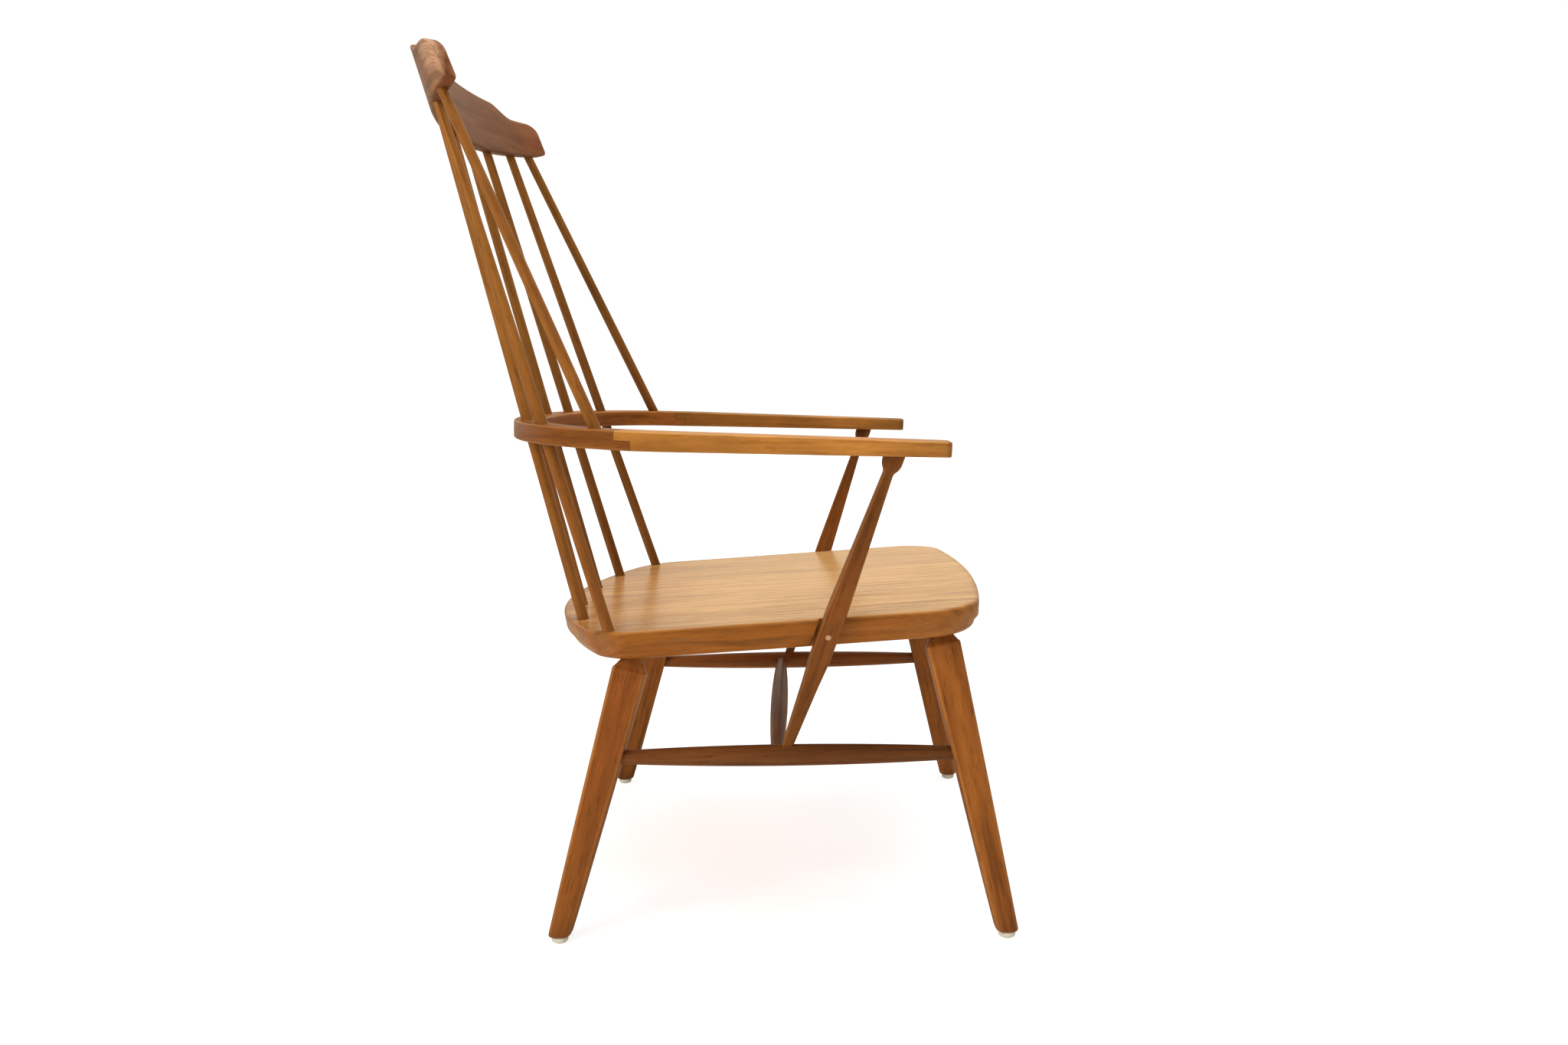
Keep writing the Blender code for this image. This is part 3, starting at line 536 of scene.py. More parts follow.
@dataclass(frozen=True)
class SteelFinish:
    """Turned steel with fine darker rings."""

    name: str
    colour: Colour
    dull: Colour = (0.25, 0.25, 0.25, 1.0)

    RING_SCALE = 900.0

    def material(self) -> bpy.types.Material:
        """Build the finish.

        Returns:
            The material.
        """
        material, graph, shader = start_material(self.name)
        worn = graph.noise(graph.object_place(), self.RING_SCALE, 3.0)
        graph.feed(shader.inputs["Base Color"], graph.mix(worn * 0.4, self.colour, self.dull))
        graph.feed(shader.inputs["Roughness"], worn * 0.3 + 0.2)
        shader.inputs["Metallic"].default_value = 1.0
        return material


FINISHES = {
    Slot.SEAT: WoodFinish(
        "waxed_seat", linear(104, 57, 17), linear(138, 74, 19), linear(162, 94, 32), linear(205, 158, 98),
        stain=linear(112, 90, 66), roughness=0.24, streaks=0.55, line_count=520.0, lines=0.30,
        edge_lines=1.8, veins=0.7, smears=0.6, flecks=0.32, mottle=0.36, pores=0.3, wear=1.0, board=0.125,
        board_start=SEAT_JOINT + grain_shift(SEAT_SEED)[1],
    ),
    Slot.LEG: WoodFinish(
        "waxed_legs", linear(62, 31, 11), linear(119, 63, 24), linear(152, 88, 34), linear(162, 102, 47),
        index=1.38,
    ),
    Slot.STRETCHER: WoodFinish(
        "dark_stretchers", linear(52, 26, 12), linear(91, 50, 22), linear(113, 64, 28), linear(128, 76, 39),
    ),
    Slot.ARM: WoodFinish(
        "rubbed_arms", linear(137, 78, 24), linear(171, 107, 42), linear(188, 125, 56), linear(200, 147, 82),
        roughness=0.34,
    ),
    Slot.BOW: WoodFinish(
        "waxed_bow", linear(67, 32, 8), linear(102, 53, 16), linear(122, 67, 21), linear(149, 97, 48),
    ),
    Slot.SPINDLE: WoodFinish(
        "waxed_spindles", linear(72, 38, 15), linear(115, 66, 24), linear(135, 85, 32), linear(151, 104, 54),
        line_count=420.0,
    ),
    Slot.CREST: WoodFinish(
        "waxed_crest", linear(64, 34, 18), linear(98, 54, 31), linear(113, 68, 41), linear(172, 134, 102),
        pores=0.6, lines=0.22, streaks=0.6,
    ),
    Slot.PLUG: WoodFinish(
        "pale_plugs", linear(120, 82, 52), linear(166, 122, 84), linear(184, 142, 102), linear(190, 150, 112),
    ),
    Slot.GLIDE: PlasticFinish("cream_glides", linear(214, 204, 184), linear(168, 152, 128)),
    Slot.SCREW: SteelFinish("plain_steel", linear(176, 176, 172)),
}


class Finisher:
    """Makes each finish once and dresses pieces with it."""

    def __init__(self) -> None:
        """Start with no materials."""
        self.made: dict[Slot, bpy.types.Material] = {}

    def of(self, slot: Slot) -> bpy.types.Material:
        """The material of a slot, made on first use."""
        if slot not in self.made:
            self.made[slot] = FINISHES[slot].material()
        return self.made[slot]

    def dress_solid(self, node: str, slot: Slot) -> None:
        """Give a solid that stays in view the material of its slot.

        Args:
            node: Name of the solid.
            slot: The material slot.
        """
        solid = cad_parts[node]
        for place in solid.material_slots:
            place.material = self.of(slot)
        LOG.info("%s wears %s", node, slot.value)


FINISHER = Finisher()


def register(piece: bpy.types.Object, node: str) -> bpy.types.Object:
    """Put a finished piece on the chair in place of its plain solid.

    Args:
        piece: The finished piece.
        node: Name of the solid that it stands for.

    Returns:
        The same piece.
    """
    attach(piece, "root")
    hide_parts(node)
    LOG.info("%s has %d faces", piece.name, len(piece.data.polygons))
    return piece


@dataclass
class Ring:
    """One closed section of a loft, with the grain, wear and tone of its points."""

    points: list[Vector]
    grain: list[Vector]
    wear: list[float]
    tone: float = 1.0


@dataclass
class Section:
    """A rectangle with round corners, placed by its centre and two directions."""

    centre: Vector
    across: Vector
    up: Vector
    half_width: float
    half_height: float
    corner: float
    mark: float
    tone: float = 1.0
    lowest: float = -1.0

    @classmethod
    def disc(cls, centre: Vector, across: Vector, up: Vector, radius: float, mark: float) -> "Section":
        """A round section."""
        return cls(centre, across, up, radius, radius, radius, mark)

    def ring(self) -> Ring:
        """Lay points round the section, cut off flat at its lowest height.

        Returns:
            The ring of points, most worn on the corners.
        """
        radius = min(self.corner, self.half_width, self.half_height)
        points = []
        grain = []
        wear = []
        for quarter, (sign_u, sign_v) in enumerate(((1, 1), (-1, 1), (-1, -1), (1, -1))):
            for step in range(CORNER_STEPS):
                angle = math.radians(90) * (quarter + (step + 0.5) / CORNER_STEPS)
                u = sign_u * (self.half_width - radius) + radius * math.cos(angle)
                v = sign_v * (self.half_height - radius) + radius * math.sin(angle)
                v = max(v, self.lowest)
                points.append(self.centre + self.across * u + self.up * v)
                grain.append(Vector((self.mark, u, v)))
                wear.append(abs(math.sin(2 * angle)) ** 2)
        return Ring(points, grain, wear, self.tone)


class Loft:
    """A closed solid through rings of as many points each, with a grain along it."""

    def __init__(self, name: str, seed: int, tone: float = 1.0) -> None:
        """Start with no rings.

        Args:
            name: Name of the piece.
            seed: Number that moves the grain, so that no two pieces share a pattern.
            tone: Brightness of the piece's wood.
        """
        self.name = name
        self.shift = Vector(grain_shift(seed))
        self.tone = tone
        self.rings: list[Ring] = []

    def add(self, ring: Ring) -> None:
        """Add the next ring."""
        self.rings.append(ring)

    def build(self, slot: Slot) -> bpy.types.Object:
        """Skin the rings, close both ends and dress the piece.

        Args:
            slot: The material slot.

        Returns:
            The piece.
        """
        shape = bmesh.new()
        grain = shape.verts.layers.float_vector.new(GRAIN)
        tone = shape.verts.layers.float.new(TONE)
        wear = shape.verts.layers.float.new(WEAR)
        loops = []
        for ring in self.rings:
            loop = []
            for point, coordinates, worn in zip(ring.points, ring.grain, ring.wear):
                vertex = shape.verts.new(point)
                vertex[grain] = coordinates + self.shift
                vertex[tone] = self.tone * ring.tone
                vertex[wear] = worn
                loop.append(vertex)
            loops.append(loop)
        for lower, upper in zip(loops, loops[1:]):
            for index, corner in enumerate(lower):
                after = (index + 1) % len(lower)
                shape.faces.new((corner, lower[after], upper[after], upper[index]))
        shape.faces.new(loops[0])
        shape.faces.new(loops[-1])
        return settle(shape, self.name, slot)


def settle(shape: bmesh.types.BMesh, name: str, slot: Slot) -> bpy.types.Object:
    """Turn a finished shape into a dressed, smoothly shaded piece.

    Args:
        shape: The shape, which is freed.
        name: Name of the piece.
        slot: The material slot.

    Returns:
        The piece.
    """
    bmesh.ops.remove_doubles(shape, verts=shape.verts, dist=WELD)
    bmesh.ops.recalc_face_normals(shape, faces=shape.faces)
    mesh = bpy.data.meshes.new(name)
    shape.to_mesh(mesh)
    shape.free()
    mesh.shade_smooth()
    mesh.set_sharp_from_angle(angle=SHARP_EDGE)
    mesh.materials.clear()
    mesh.materials.append(FINISHER.of(slot))
    piece = bpy.data.objects.new(name, mesh)
    bpy.context.scene.collection.objects.link(piece)
    return piece


def harvest(carrier: bpy.types.Object) -> bmesh.types.BMesh:
    """Take the evaluated shape of an object with modifiers, and remove the object.

    Args:
        carrier: The object with its modifiers.

    Returns:
        The evaluated shape.
    """
    bpy.context.view_layer.update()
    made = carrier.evaluated_get(bpy.context.evaluated_depsgraph_get())
    mesh = bpy.data.meshes.new_from_object(made)
    shape = bmesh.new()
    shape.from_mesh(mesh)
    bpy.data.objects.remove(carrier, do_unlink=True)
    bpy.data.meshes.remove(mesh)
    return shape


def carved(piece: bpy.types.Object, cutters: Sequence[bpy.types.Object], slot: Slot) -> bpy.types.Object:
    """Cut pieces out of another one and remove the cutters.

    Args:
        piece: The piece that is cut.
        cutters: The cutters.
        slot: The material slot of the piece.

    Returns:
        The cut piece, under the same name.
    """
    name = piece.name
    for cutter in cutters:
        boolean = piece.modifiers.new("Cut", "BOOLEAN")
        boolean.operation = "DIFFERENCE"
        boolean.solver = "EXACT"
        boolean.object = cutter
    shape = harvest(piece)
    for cutter in cutters:
        bpy.data.objects.remove(cutter, do_unlink=True)
    for face in shape.faces:
        face.material_index = 0
    result = settle(shape, name + "_cut", slot)
    result.name = name
    return result


def soft_insets(radius: float, steps: int) -> list[tuple[float, float]]:
    """Distance from the end and inset of each ring that rounds an end.

    Args:
        radius: Radius of the rounding.
        steps: Rings in the rounding.

    Returns:
        Pairs of distance and inset, from the end inward.
    """
    pairs = []
    for step in range(steps + 1):
        angle = math.radians(90) * step / steps
        pairs.append((radius * (1 - math.cos(angle)), radius * (1 - math.sin(angle))))
    return pairs


class Maker:
    """A node group that makes one kind of piece from named inputs."""

    TITLE = "maker"
    INPUTS: tuple = ()
    SHARED = (
        ("Grain Shift", "NodeSocketVector", (0.0, 0.0, 0.0)),
        ("Tone", "NodeSocketFloat", 1.0),
        ("Material", "NodeSocketMaterial", None),
    )

    def __init__(self) -> None:
        """Build the tree once."""
        self.tree = bpy.data.node_groups.new(self.TITLE, "GeometryNodeTree")
        for name, kind, default in (*self.INPUTS, *self.SHARED):
            socket = self.tree.interface.new_socket(name, in_out="INPUT", socket_type=kind)
            if default is not None:
                socket.default_value = default
        self.tree.interface.new_socket("Geometry", in_out="OUTPUT", socket_type="NodeSocketGeometry")
        self.graph = Graph(self.tree)
        self.given = self.graph.add("NodeGroupInput").outputs
        self.grow()

    def grow(self) -> None:
        """Add the nodes between the inputs and the finished geometry."""
        raise NotImplementedError

    def number(self, name: str) -> Value:
        """A named input as a number."""
        return self.graph.value(self.given[name])

    def captured(self, geometry: bpy.types.NodeSocket, kind: str, name: str, field: object) -> bpy.types.Node:
        """Keep a field on the points of some geometry.

        Args:
            geometry: Socket of the geometry.
            kind: Type of the kept value.
            name: Name of the kept value.
            field: The field that is kept.

        Returns:
            The node, whose outputs are the geometry and the named value.
        """
        node = self.graph.add("GeometryNodeCaptureAttribute", {"domain": "POINT"})
        node.capture_items.new(kind, name)
        self.graph.feed(node.inputs[0], geometry)
        self.graph.feed(node.inputs[name], field)
        return node

    def spot(self) -> bpy.types.NodeSocket:
        """Socket of each point's position."""
        return self.graph.add("GeometryNodeInputPosition").outputs[0]

    def rule(self, start: object, end: object, count: bpy.types.NodeSocket) -> bpy.types.NodeSocket:
        """Draw a straight curve with evenly spaced points.

        Args:
            start: Start of the line.
            end: End of the line.
            count: Number of its points.

        Returns:
            Socket of the curve.
        """
        line = self.graph.add("GeometryNodeCurvePrimitiveLine", {"mode": "POINTS"}, {0: start, 1: end})
        inputs = {"Curve": line.outputs[0], "Count": count}
        return self.graph.add("GeometryNodeResampleCurve", None, inputs).outputs[0]

    def finish(
        self, geometry: bpy.types.NodeSocket, grain: bpy.types.NodeSocket, wear: object, shade: object
    ) -> None:
        """Store grain, tone and wear, and end the tree.

        Args:
            geometry: Socket of the shape.
            grain: Socket of the plain grain coordinates.
            wear: Wear of each point.
            shade: Tone of each point, which the piece's tone multiplies.
        """
        tone = self.number("Tone") * shade
        moved = self.graph.shifted(grain, self.given["Grain Shift"])
        kept = ((GRAIN, "FLOAT_VECTOR", moved), (TONE, "FLOAT", tone), (WEAR, "FLOAT", wear))
        for name, kind, field in kept:
            settings = {"data_type": kind, "domain": "POINT"}
            inputs = {"Geometry": geometry, "Name": name, "Value": field}
            geometry = self.graph.add("GeometryNodeStoreNamedAttribute", settings, inputs).outputs[0]
        real = self.graph.add("GeometryNodeRealizeInstances", None, {0: geometry})
        inputs = {0: real.outputs[0], "Material": self.given["Material"]}
        dressed = self.graph.add("GeometryNodeSetMaterial", None, inputs)
        self.graph.add("NodeGroupOutput", None, {0: dressed.outputs[0]})

    def make(self, name: str, slot: Slot, seed: int, values: dict) -> bpy.types.Object:
        """Make one piece and keep it as a plain mesh.

        Args:
            name: Name of the piece.
            slot: The material slot.
            seed: Number that moves the grain.
            values: Values of the group's named inputs.

        Returns:
            The piece.
        """
        carrier = bpy.data.objects.new(name + "_maker", bpy.data.meshes.new(name + "_maker"))
        bpy.context.scene.collection.objects.link(carrier)
        maker = carrier.modifiers.new(self.TITLE, "NODES")
        maker.node_group = self.tree
        wanted = {**values, "Material": FINISHER.of(slot), "Grain Shift": grain_shift(seed)}
        for item in self.tree.interface.items_tree:
            if item.item_type == "SOCKET" and item.in_out == "INPUT" and item.name in wanted:
                maker[item.identifier] = wanted[item.name]
        return settle(harvest(carrier), name, slot)


class TurnedStick(Maker):
    """Turns a straight stick between two points."""

    TITLE = "Turned stick"
    INPUTS = (
        ("Start", "NodeSocketVector", (0.0, 0.0, 0.0)),
        ("End", "NodeSocketVector", (0.0, 0.0, 1.0)),
        ("Start Radius", "NodeSocketFloat", 0.007),
        ("Middle Radius", "NodeSocketFloat", 0.0068),
        ("End Radius", "NodeSocketFloat", 0.0058),
        ("Middle Place", "NodeSocketFloat", 0.4),
        ("Swell", "NodeSocketFloat", 0.0),
        ("Sides", "NodeSocketInt", 32),
        ("Steps", "NodeSocketInt", 40),
    )
    EVEN_WEAR = 0.15

    def radius(self, factor: Value) -> Value:
        """Radius of the stick, straight or swelling between its three sizes.

        Args:
            factor: Share of the stick's length.

        Returns:
            The radius there.
        """
        place = self.number("Middle Place")
        tent = (factor / place).maths("MINIMUM", (1.0 - factor) / (1.0 - place))
        dome = 1.0 - (1.0 - tent) ** 2.0
        swell = self.number("Swell")
        share = tent * (1.0 - swell) + dome * swell
        after = factor.maths("GREATER_THAN", place)
        outer = self.number("Start Radius") * (1.0 - after) + self.number("End Radius") * after
        return outer + (self.number("Middle Radius") - outer) * share

    def grow(self) -> None:
        """Sweep a circle along the line and let the radius follow the stick's three sizes."""
        graph, given = self.graph, self.given
        spline = graph.add("GeometryNodeSplineParameter").outputs
        line = self.rule(given["Start"], given["End"], given["Steps"])
        marked = self.captured(line, "FLOAT", "Along", spline["Length"])
        inputs = {0: given["Sides"], "Radius": 1.0}
        circle = graph.add("GeometryNodeCurvePrimitiveCircle", {"mode": "RADIUS"}, inputs)
        around = self.captured(circle.outputs[0], "VECTOR", "Around", self.spot())
        inputs = {
            "Curve": marked.outputs[0],
            "Profile Curve": around.outputs[0],
            "Scale": self.radius(graph.value(spline["Factor"])),
            "Fill Caps": True,
        }
        swept = graph.add("GeometryNodeCurveToMesh", None, inputs)
        middle = self.number("Middle Radius")
        across, aside = (part * middle for part in graph.split(around.outputs["Around"])[:2])
        grain = graph.join(marked.outputs["Along"], across, aside)
        self.finish(swept.outputs[0], grain, self.EVEN_WEAR, 1.0)


class BentBow(Maker):
    """Bends the back bow round a squared ellipse, with a half-thickness tongue at each end."""

    TITLE = "Bent bow"
    INPUTS = (
        ("Half Span", "NodeSocketFloat", 0.28),
        ("Curve Start Y", "NodeSocketFloat", 0.088),
        ("Curve Depth", "NodeSocketFloat", 0.2165),
        ("Squareness", "NodeSocketFloat", 2.4),
        ("Shoulder Angle", "NodeSocketFloat", 0.2),
        ("Tongue Angle", "NodeSocketFloat", 0.05),
        ("Width", "NodeSocketFloat", 0.037),
        ("Arm Width", "NodeSocketFloat", 0.043),
        ("Joint Y", "NodeSocketFloat", 0.145),
        ("Width Run", "NodeSocketFloat", 0.070),
        ("Thickness", "NodeSocketFloat", 0.022),
        ("Edge Radius", "NodeSocketFloat", 0.0024),
        ("Lap Gap", "NodeSocketFloat", 0.0002),
        ("Tilt", "NodeSocketFloat", 0.05),
        ("Place", "NodeSocketVector", (0.0, 0.0, 0.6)),
        ("Steps", "NodeSocketInt", 240),
        ("Edge Steps", "NodeSocketInt", 5),
    )
    LEAST = 0.00002
    WORN_EDGE = 0.003
    WEAR_GAIN = 160000.0
    GRAIN_PACE = 0.55
    FADE_END = 0.7
    FADE = 0.36

    def powered(self, base: Value, exponent: Value) -> Value:
        """A power of a number's size, kept clear of zero."""
        return base.maths("ABSOLUTE").maths("MAXIMUM", self.LEAST) ** exponent

    def profile(self) -> bpy.types.Node:
        """The bow's section with soft edges, whose points remember their spots."""
        graph, given = self.graph, self.given
        size = {"Width": given["Width"], "Height": given["Thickness"]}
        plain = graph.add("GeometryNodeCurvePrimitiveQuadrilateral", {"mode": "RECTANGLE"}, size)
        inputs = {"Curve": plain.outputs[0], "Radius": given["Edge Radius"], "Count": given["Edge Steps"]}
        soft = graph.add("GeometryNodeFilletCurve", {"mode": "POLY"}, inputs)
        return self.captured(soft.outputs[0], "VECTOR", "Spot", self.spot())

    def path(self, angle: Value) -> tuple[Value, Value, Value, Value]:
        """Follow the squared ellipse.

        Args:
            angle: Angle on the ellipse.

        Returns:
            X and Y of the point, then X and Y of the direction that faces outward there.
        """
        sine, cosine = angle.maths("SINE"), angle.maths("COSINE")
        exponent = 2.0 / self.number("Squareness")
        span, depth = self.number("Half Span"), self.number("Curve Depth")
        x = cosine.maths("SIGN") * span * self.powered(cosine, exponent)
        y = self.number("Curve Start Y") + depth * self.powered(sine, exponent)
        slope_x = span * self.powered(cosine, exponent - 1.0) * sine * -1.0
        slope_y = depth * self.powered(sine, exponent - 1.0) * cosine
        length = (slope_x * slope_x + slope_y * slope_y) ** 0.5
        return x, y, slope_y / length, slope_x / length * -1.0

    def tilted(self, x: Value, y: Value, z: Value) -> bpy.types.NodeSocket:
        """Socket of a point that is turned by the rail's tilt."""
        sine, cosine = self.number("Tilt").maths("SINE"), self.number("Tilt").maths("COSINE")
        return self.graph.join(x, y * cosine - z * sine, y * sine + z * cosine)

    def edge_wear(self, u: Value, v: Value) -> Value:
        """Wear of a point of the section, all of it on the four edges.

        Args:
            u: The point's distance across the rail from the section's middle.
            v: The point's height over the section's middle.

        Returns:
            The wear from 0 to 1.
        """
        sideways = u.maths("ABSOLUTE") - self.number("Width") * 0.5 + self.WORN_EDGE
        upward = v.maths("ABSOLUTE") - self.number("Thickness") * 0.5 + self.WORN_EDGE
        both = sideways.maths("MAXIMUM", 0.0) * upward.maths("MAXIMUM", 0.0)
        return (both * self.WEAR_GAIN).maths("MINIMUM", 1.0)

    def grow(self) -> None:
        """Sweep the section along a straight line and bend the result by its ring numbers.

        The first two rings and the last two carry the tongues, and the others lie evenly round the bow.
        """
        graph = self.graph
        profile = self.profile()
        line = self.rule((0.0, 0.0, 0.0), (1.0, 0.0, 0.0), self.given["Steps"])
        marked = self.captured(line, "FLOAT", "Ring", graph.add("GeometryNodeInputIndex").outputs[0])
        inputs = {"Curve": marked.outputs[0], "Profile Curve": profile.outputs[0], "Fill Caps": True}
        swept = graph.add("GeometryNodeCurveToMesh", None, inputs)
        ring = graph.value(marked.outputs["Ring"])
        u, v, _ = graph.split(profile.outputs["Spot"])
        last = self.number("Steps") - 1.0
        head = (1.0 - ring).maths("MAXIMUM", 0.0)
        tail = (ring - last + 1.0).maths("MAXIMUM", 0.0)
        share = ((ring - 2.0) / (last - 4.0)).maths("MAXIMUM", 0.0).maths("MINIMUM", 1.0)
        shoulder = self.number("Shoulder Angle")
        angle = shoulder + share * (math.pi - shoulder * 2.0) + (tail - head) * self.number("Tongue Angle")
        x, y, away_x, away_y = self.path(angle)
        wider = ((self.number("Joint Y") - y) / self.number("Width Run")).ramp(-0.5, 0.5)
        widening = 1.0 + (self.number("Arm Width") / self.number("Width") - 1.0) * wider
        inner = ring.maths("COMPARE", 1.0, 0.1) + ring.maths("COMPARE", last - 1.0, 0.1)
        tongue = (head + tail + inner).maths("MINIMUM", 1.0)
        half = self.number("Thickness") * 0.5
        top = half * (1.0 - tongue) - self.number("Lap Gap") * tongue
        height = v.maths("MINIMUM", top) - half
        bent = self.tilted(x + away_x * u * widening, y + away_y * u * widening, height)
        inputs = {0: swept.outputs[0], "Position": graph.shifted(bent, self.given["Place"])}
        shaped = graph.add("GeometryNodeSetPosition", None, inputs)
        along = angle * (self.number("Half Span") + self.number("Curve Depth")) * self.GRAIN_PACE
        faded = 1.0 + share.ramp(self.FADE_END, 0.0) * self.FADE
        self.finish(shaped.outputs[0], graph.join(along, u, v), self.edge_wear(u, v), faded)


def stick_ends(node: str, start_radius: float, end_radius: float, flip: Vector) -> tuple[Vector, Vector]:
    """Middles of the two end faces of a straight round solid.

    Args:
        node: Name of the solid.
        start_radius: Radius of its start face.
        end_radius: Radius of its end face.
        flip: Signs of the direction from start to end.

    Returns:
        The start and the end point.
    """
    low, high = (Vector(corner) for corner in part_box(node))
    start = Vector([low[axis] if flip[axis] > 0 else high[axis] for axis in range(3)])
    stop = Vector([high[axis] if flip[axis] > 0 else low[axis] for axis in range(3)])
    first, last = start.copy(), stop.copy()
    for _ in range(FIT_ROUNDS):
        direction = (last - first).normalized()
        for axis in range(3):
            reach = math.sqrt(max(1 - direction[axis] ** 2, 0.0))
            first[axis] = start[axis] + flip[axis] * start_radius * reach
            last[axis] = stop[axis] - flip[axis] * end_radius * reach
    return first, last


@dataclass
class Seat:
    """The plank seat, tilted up at the front, with a rounded and undercut edge."""

    shift: float
    height: float = 0.379
    tilt: float = math.radians(3.15)
    thickness: float = 0.0355
    back_half_width: float = 0.245
    front_half_width: float = 0.243
    back_corner_y: float = 0.194
    front_corner_y: float = -0.246
    back_crown: float = 0.083
    front_crown: float = 0.026
    back_radius: float = 0.035
    front_radius: float = 0.055
    top_round: float = 0.004
    undercut: float = 0.0065
    bottom_round: float = 0.012
    border: float = 0.010
    lip: float = 0.0012
    waist: float = 0.0015
    waist_place: float = 0.55
    rim: float = 0.002
    edge_step: float = 0.012
    arc_steps: int = 14
    back_wear_loss: float = 0.42
    front_edge_wear: float = 0.26

    INNER_RINGS = (0.2, 0.5, 0.75, 0.92)

    def top(self, y: float) -> float:
        """Height of the top face at a Y measured before the shift."""
        return self.height - math.tan(self.tilt) * y

    def underside(self, y: float) -> float:
        """Height of the underside at a Y measured before the shift."""
        return self.top(y) - self.thickness / math.cos(self.tilt)

    def crowned(self, x: float, y: float) -> float:
        """Push the front and back edges outward in a shallow curve.

        Args:
            x: X of a point of the plain outline.
            y: Y of the point.

        Returns:
            Its Y on the crowned outline.
        """
        fullness = 1 - (x / max(self.back_half_width, self.front_half_width)) ** 2
        if y > 0:
            return y + self.back_crown * fullness * y / self.back_corner_y
        return y - self.front_crown * fullness * y / self.front_corner_y

    def outline(self) -> list[Vector]:
        """Lay out the seat's plan, anticlockwise from the back of the left side.

        Returns:
            The outline's points.
        """
        corners = (
            (self.back_half_width, self.back_corner_y, self.back_radius, 0),
            (-self.back_half_width, self.back_corner_y, self.back_radius, 90),
            (-self.front_half_width, self.front_corner_y, self.front_radius, 180),
            (self.front_half_width, self.front_corner_y, self.front_radius, 270),
        )
        plain = []
        for x, y, radius, start in corners:
            centre = (x - math.copysign(radius, x), y - math.copysign(radius, y))
            for step in range(self.arc_steps + 1):
                angle = math.radians(start + 90 * step / self.arc_steps)
                plain.append((centre[0] + radius * math.cos(angle), centre[1] + radius * math.sin(angle)))
        points = []
        for index, (x, y) in enumerate(plain):
            next_x, next_y = plain[(index + 1) % len(plain)]
            pieces = max(1, round(math.hypot(next_x - x, next_y - y) / self.edge_step))
            for step in range(pieces):
                share = step / pieces
                middle = (between(x, next_x, share), between(y, next_y, share))
                points.append(Vector((middle[0], self.crowned(*middle))))
        return points

    def inset(self, outline: Sequence[Vector], distance: float) -> list[Vector]:
        """Move the points of the outline inward.

        Args:
            outline: The seat's outline.
            distance: How far each point moves.

        Returns:
            The moved points.
        """
        moved = []
        for index, point in enumerate(outline):
            along = (outline[(index + 1) % len(outline)] - outline[index - 1]).normalized()
            moved.append(point + Vector((-along.y, along.x)) * distance)
        return moved

    def edge_steps(self) -> list[tuple[float, float, float]]:
        """List the rings that go down the seat's edge.

        Returns:
            Inset, depth and wear of each ring.
        """
        steps = [(self.top_round + self.border, 0.0, 1.0), (self.top_round + self.lip, 0.0, 0.8)]
        for degrees in range(0, 91, 15):
            angle = math.radians(degrees)
            depth = self.top_round * (1 - math.cos(angle))
            steps.append((self.top_round * (1 - math.sin(angle)), depth, between(0.6, 0.12, degrees / 90)))
        steps.append((self.waist, self.thickness * self.waist_place, 0.0))
        for degrees in (8, 22, 36, 50, 64, 78, 90):
            angle = math.radians(degrees)
            sideways = self.undercut + self.bottom_round * (1 - math.cos(angle))
            steps.append((sideways, self.thickness - self.bottom_round * (1 - math.sin(angle)), 0.0))
        steps.append((steps[-1][0] + self.rim, self.thickness, 0.0))
        return steps

    def place(self, point: Vector, depth: float) -> Vector:
        """Tilt a point of the plan, at a depth under the top face, and put it on the chair."""
        turned = Matrix.Rotation(-self.tilt, 4, "X") @ Vector((point.x, point.y, -depth))
        return turned + Vector((0, self.shift, self.height))

    def build(self, notches: Sequence[bpy.types.Object]) -> None:
        """Make the seat and cut its two side notches.

        Args:
            notches: Cutters of the notches.
        """
        outline = self.outline()
        inner = self.inset(outline, self.top_round + self.border)
        loft = Loft("seat_plank", SEAT_SEED)
        rows = [([point * scale for point in inner], 0.0, 1.0) for scale in self.INNER_RINGS]
        rows += [(self.inset(outline, distance), depth, wear) for distance, depth, wear in self.edge_steps()]
        for row, depth, wear in rows:
            points = [self.place(point, depth) for point in row]
            grain = [Vector((point.y, point.x, -depth)) for point in row]
            rubbed = [self.wear_at(point, depth, wear) for point in row]
            loft.add(Ring(points, grain, rubbed))
        piece = carved(loft.build(Slot.SEAT), notches, Slot.SEAT)
        self.regrain(piece, loft.shift)
        register(piece, "seat")

    def wear_at(self, point: Vector, depth: float, wear: float) -> float:
        """Wear of a point: less at the back of the top face, more down the front of the edge."""
        if depth <= self.top_round / 2:
            return wear * (1 - self.back_wear_loss * blend((point.y - 0.02) / 0.20))
        return max(wear, self.front_edge_wear * blend((0.02 - point.y) / 0.30))

    def regrain(self, piece: bpy.types.Object, shift: Vector) -> None:
        """Run the plank's own grain through the walls of its notches.

        Args:
            piece: The cut seat.
            shift: Where in the wood the seat lies.
        """
        turn = Matrix.Rotation(self.tilt, 4, "X")
        grain = piece.data.attributes[GRAIN].data
        tone = piece.data.attributes[TONE].data
        for vertex in piece.data.vertices:
            plan = turn @ (vertex.co - Vector((0, self.shift, self.height)))
            grain[vertex.index].vector = Vector((plan.y, plan.x, plan.z)) + shift
            tone[vertex.index].value = 1.0


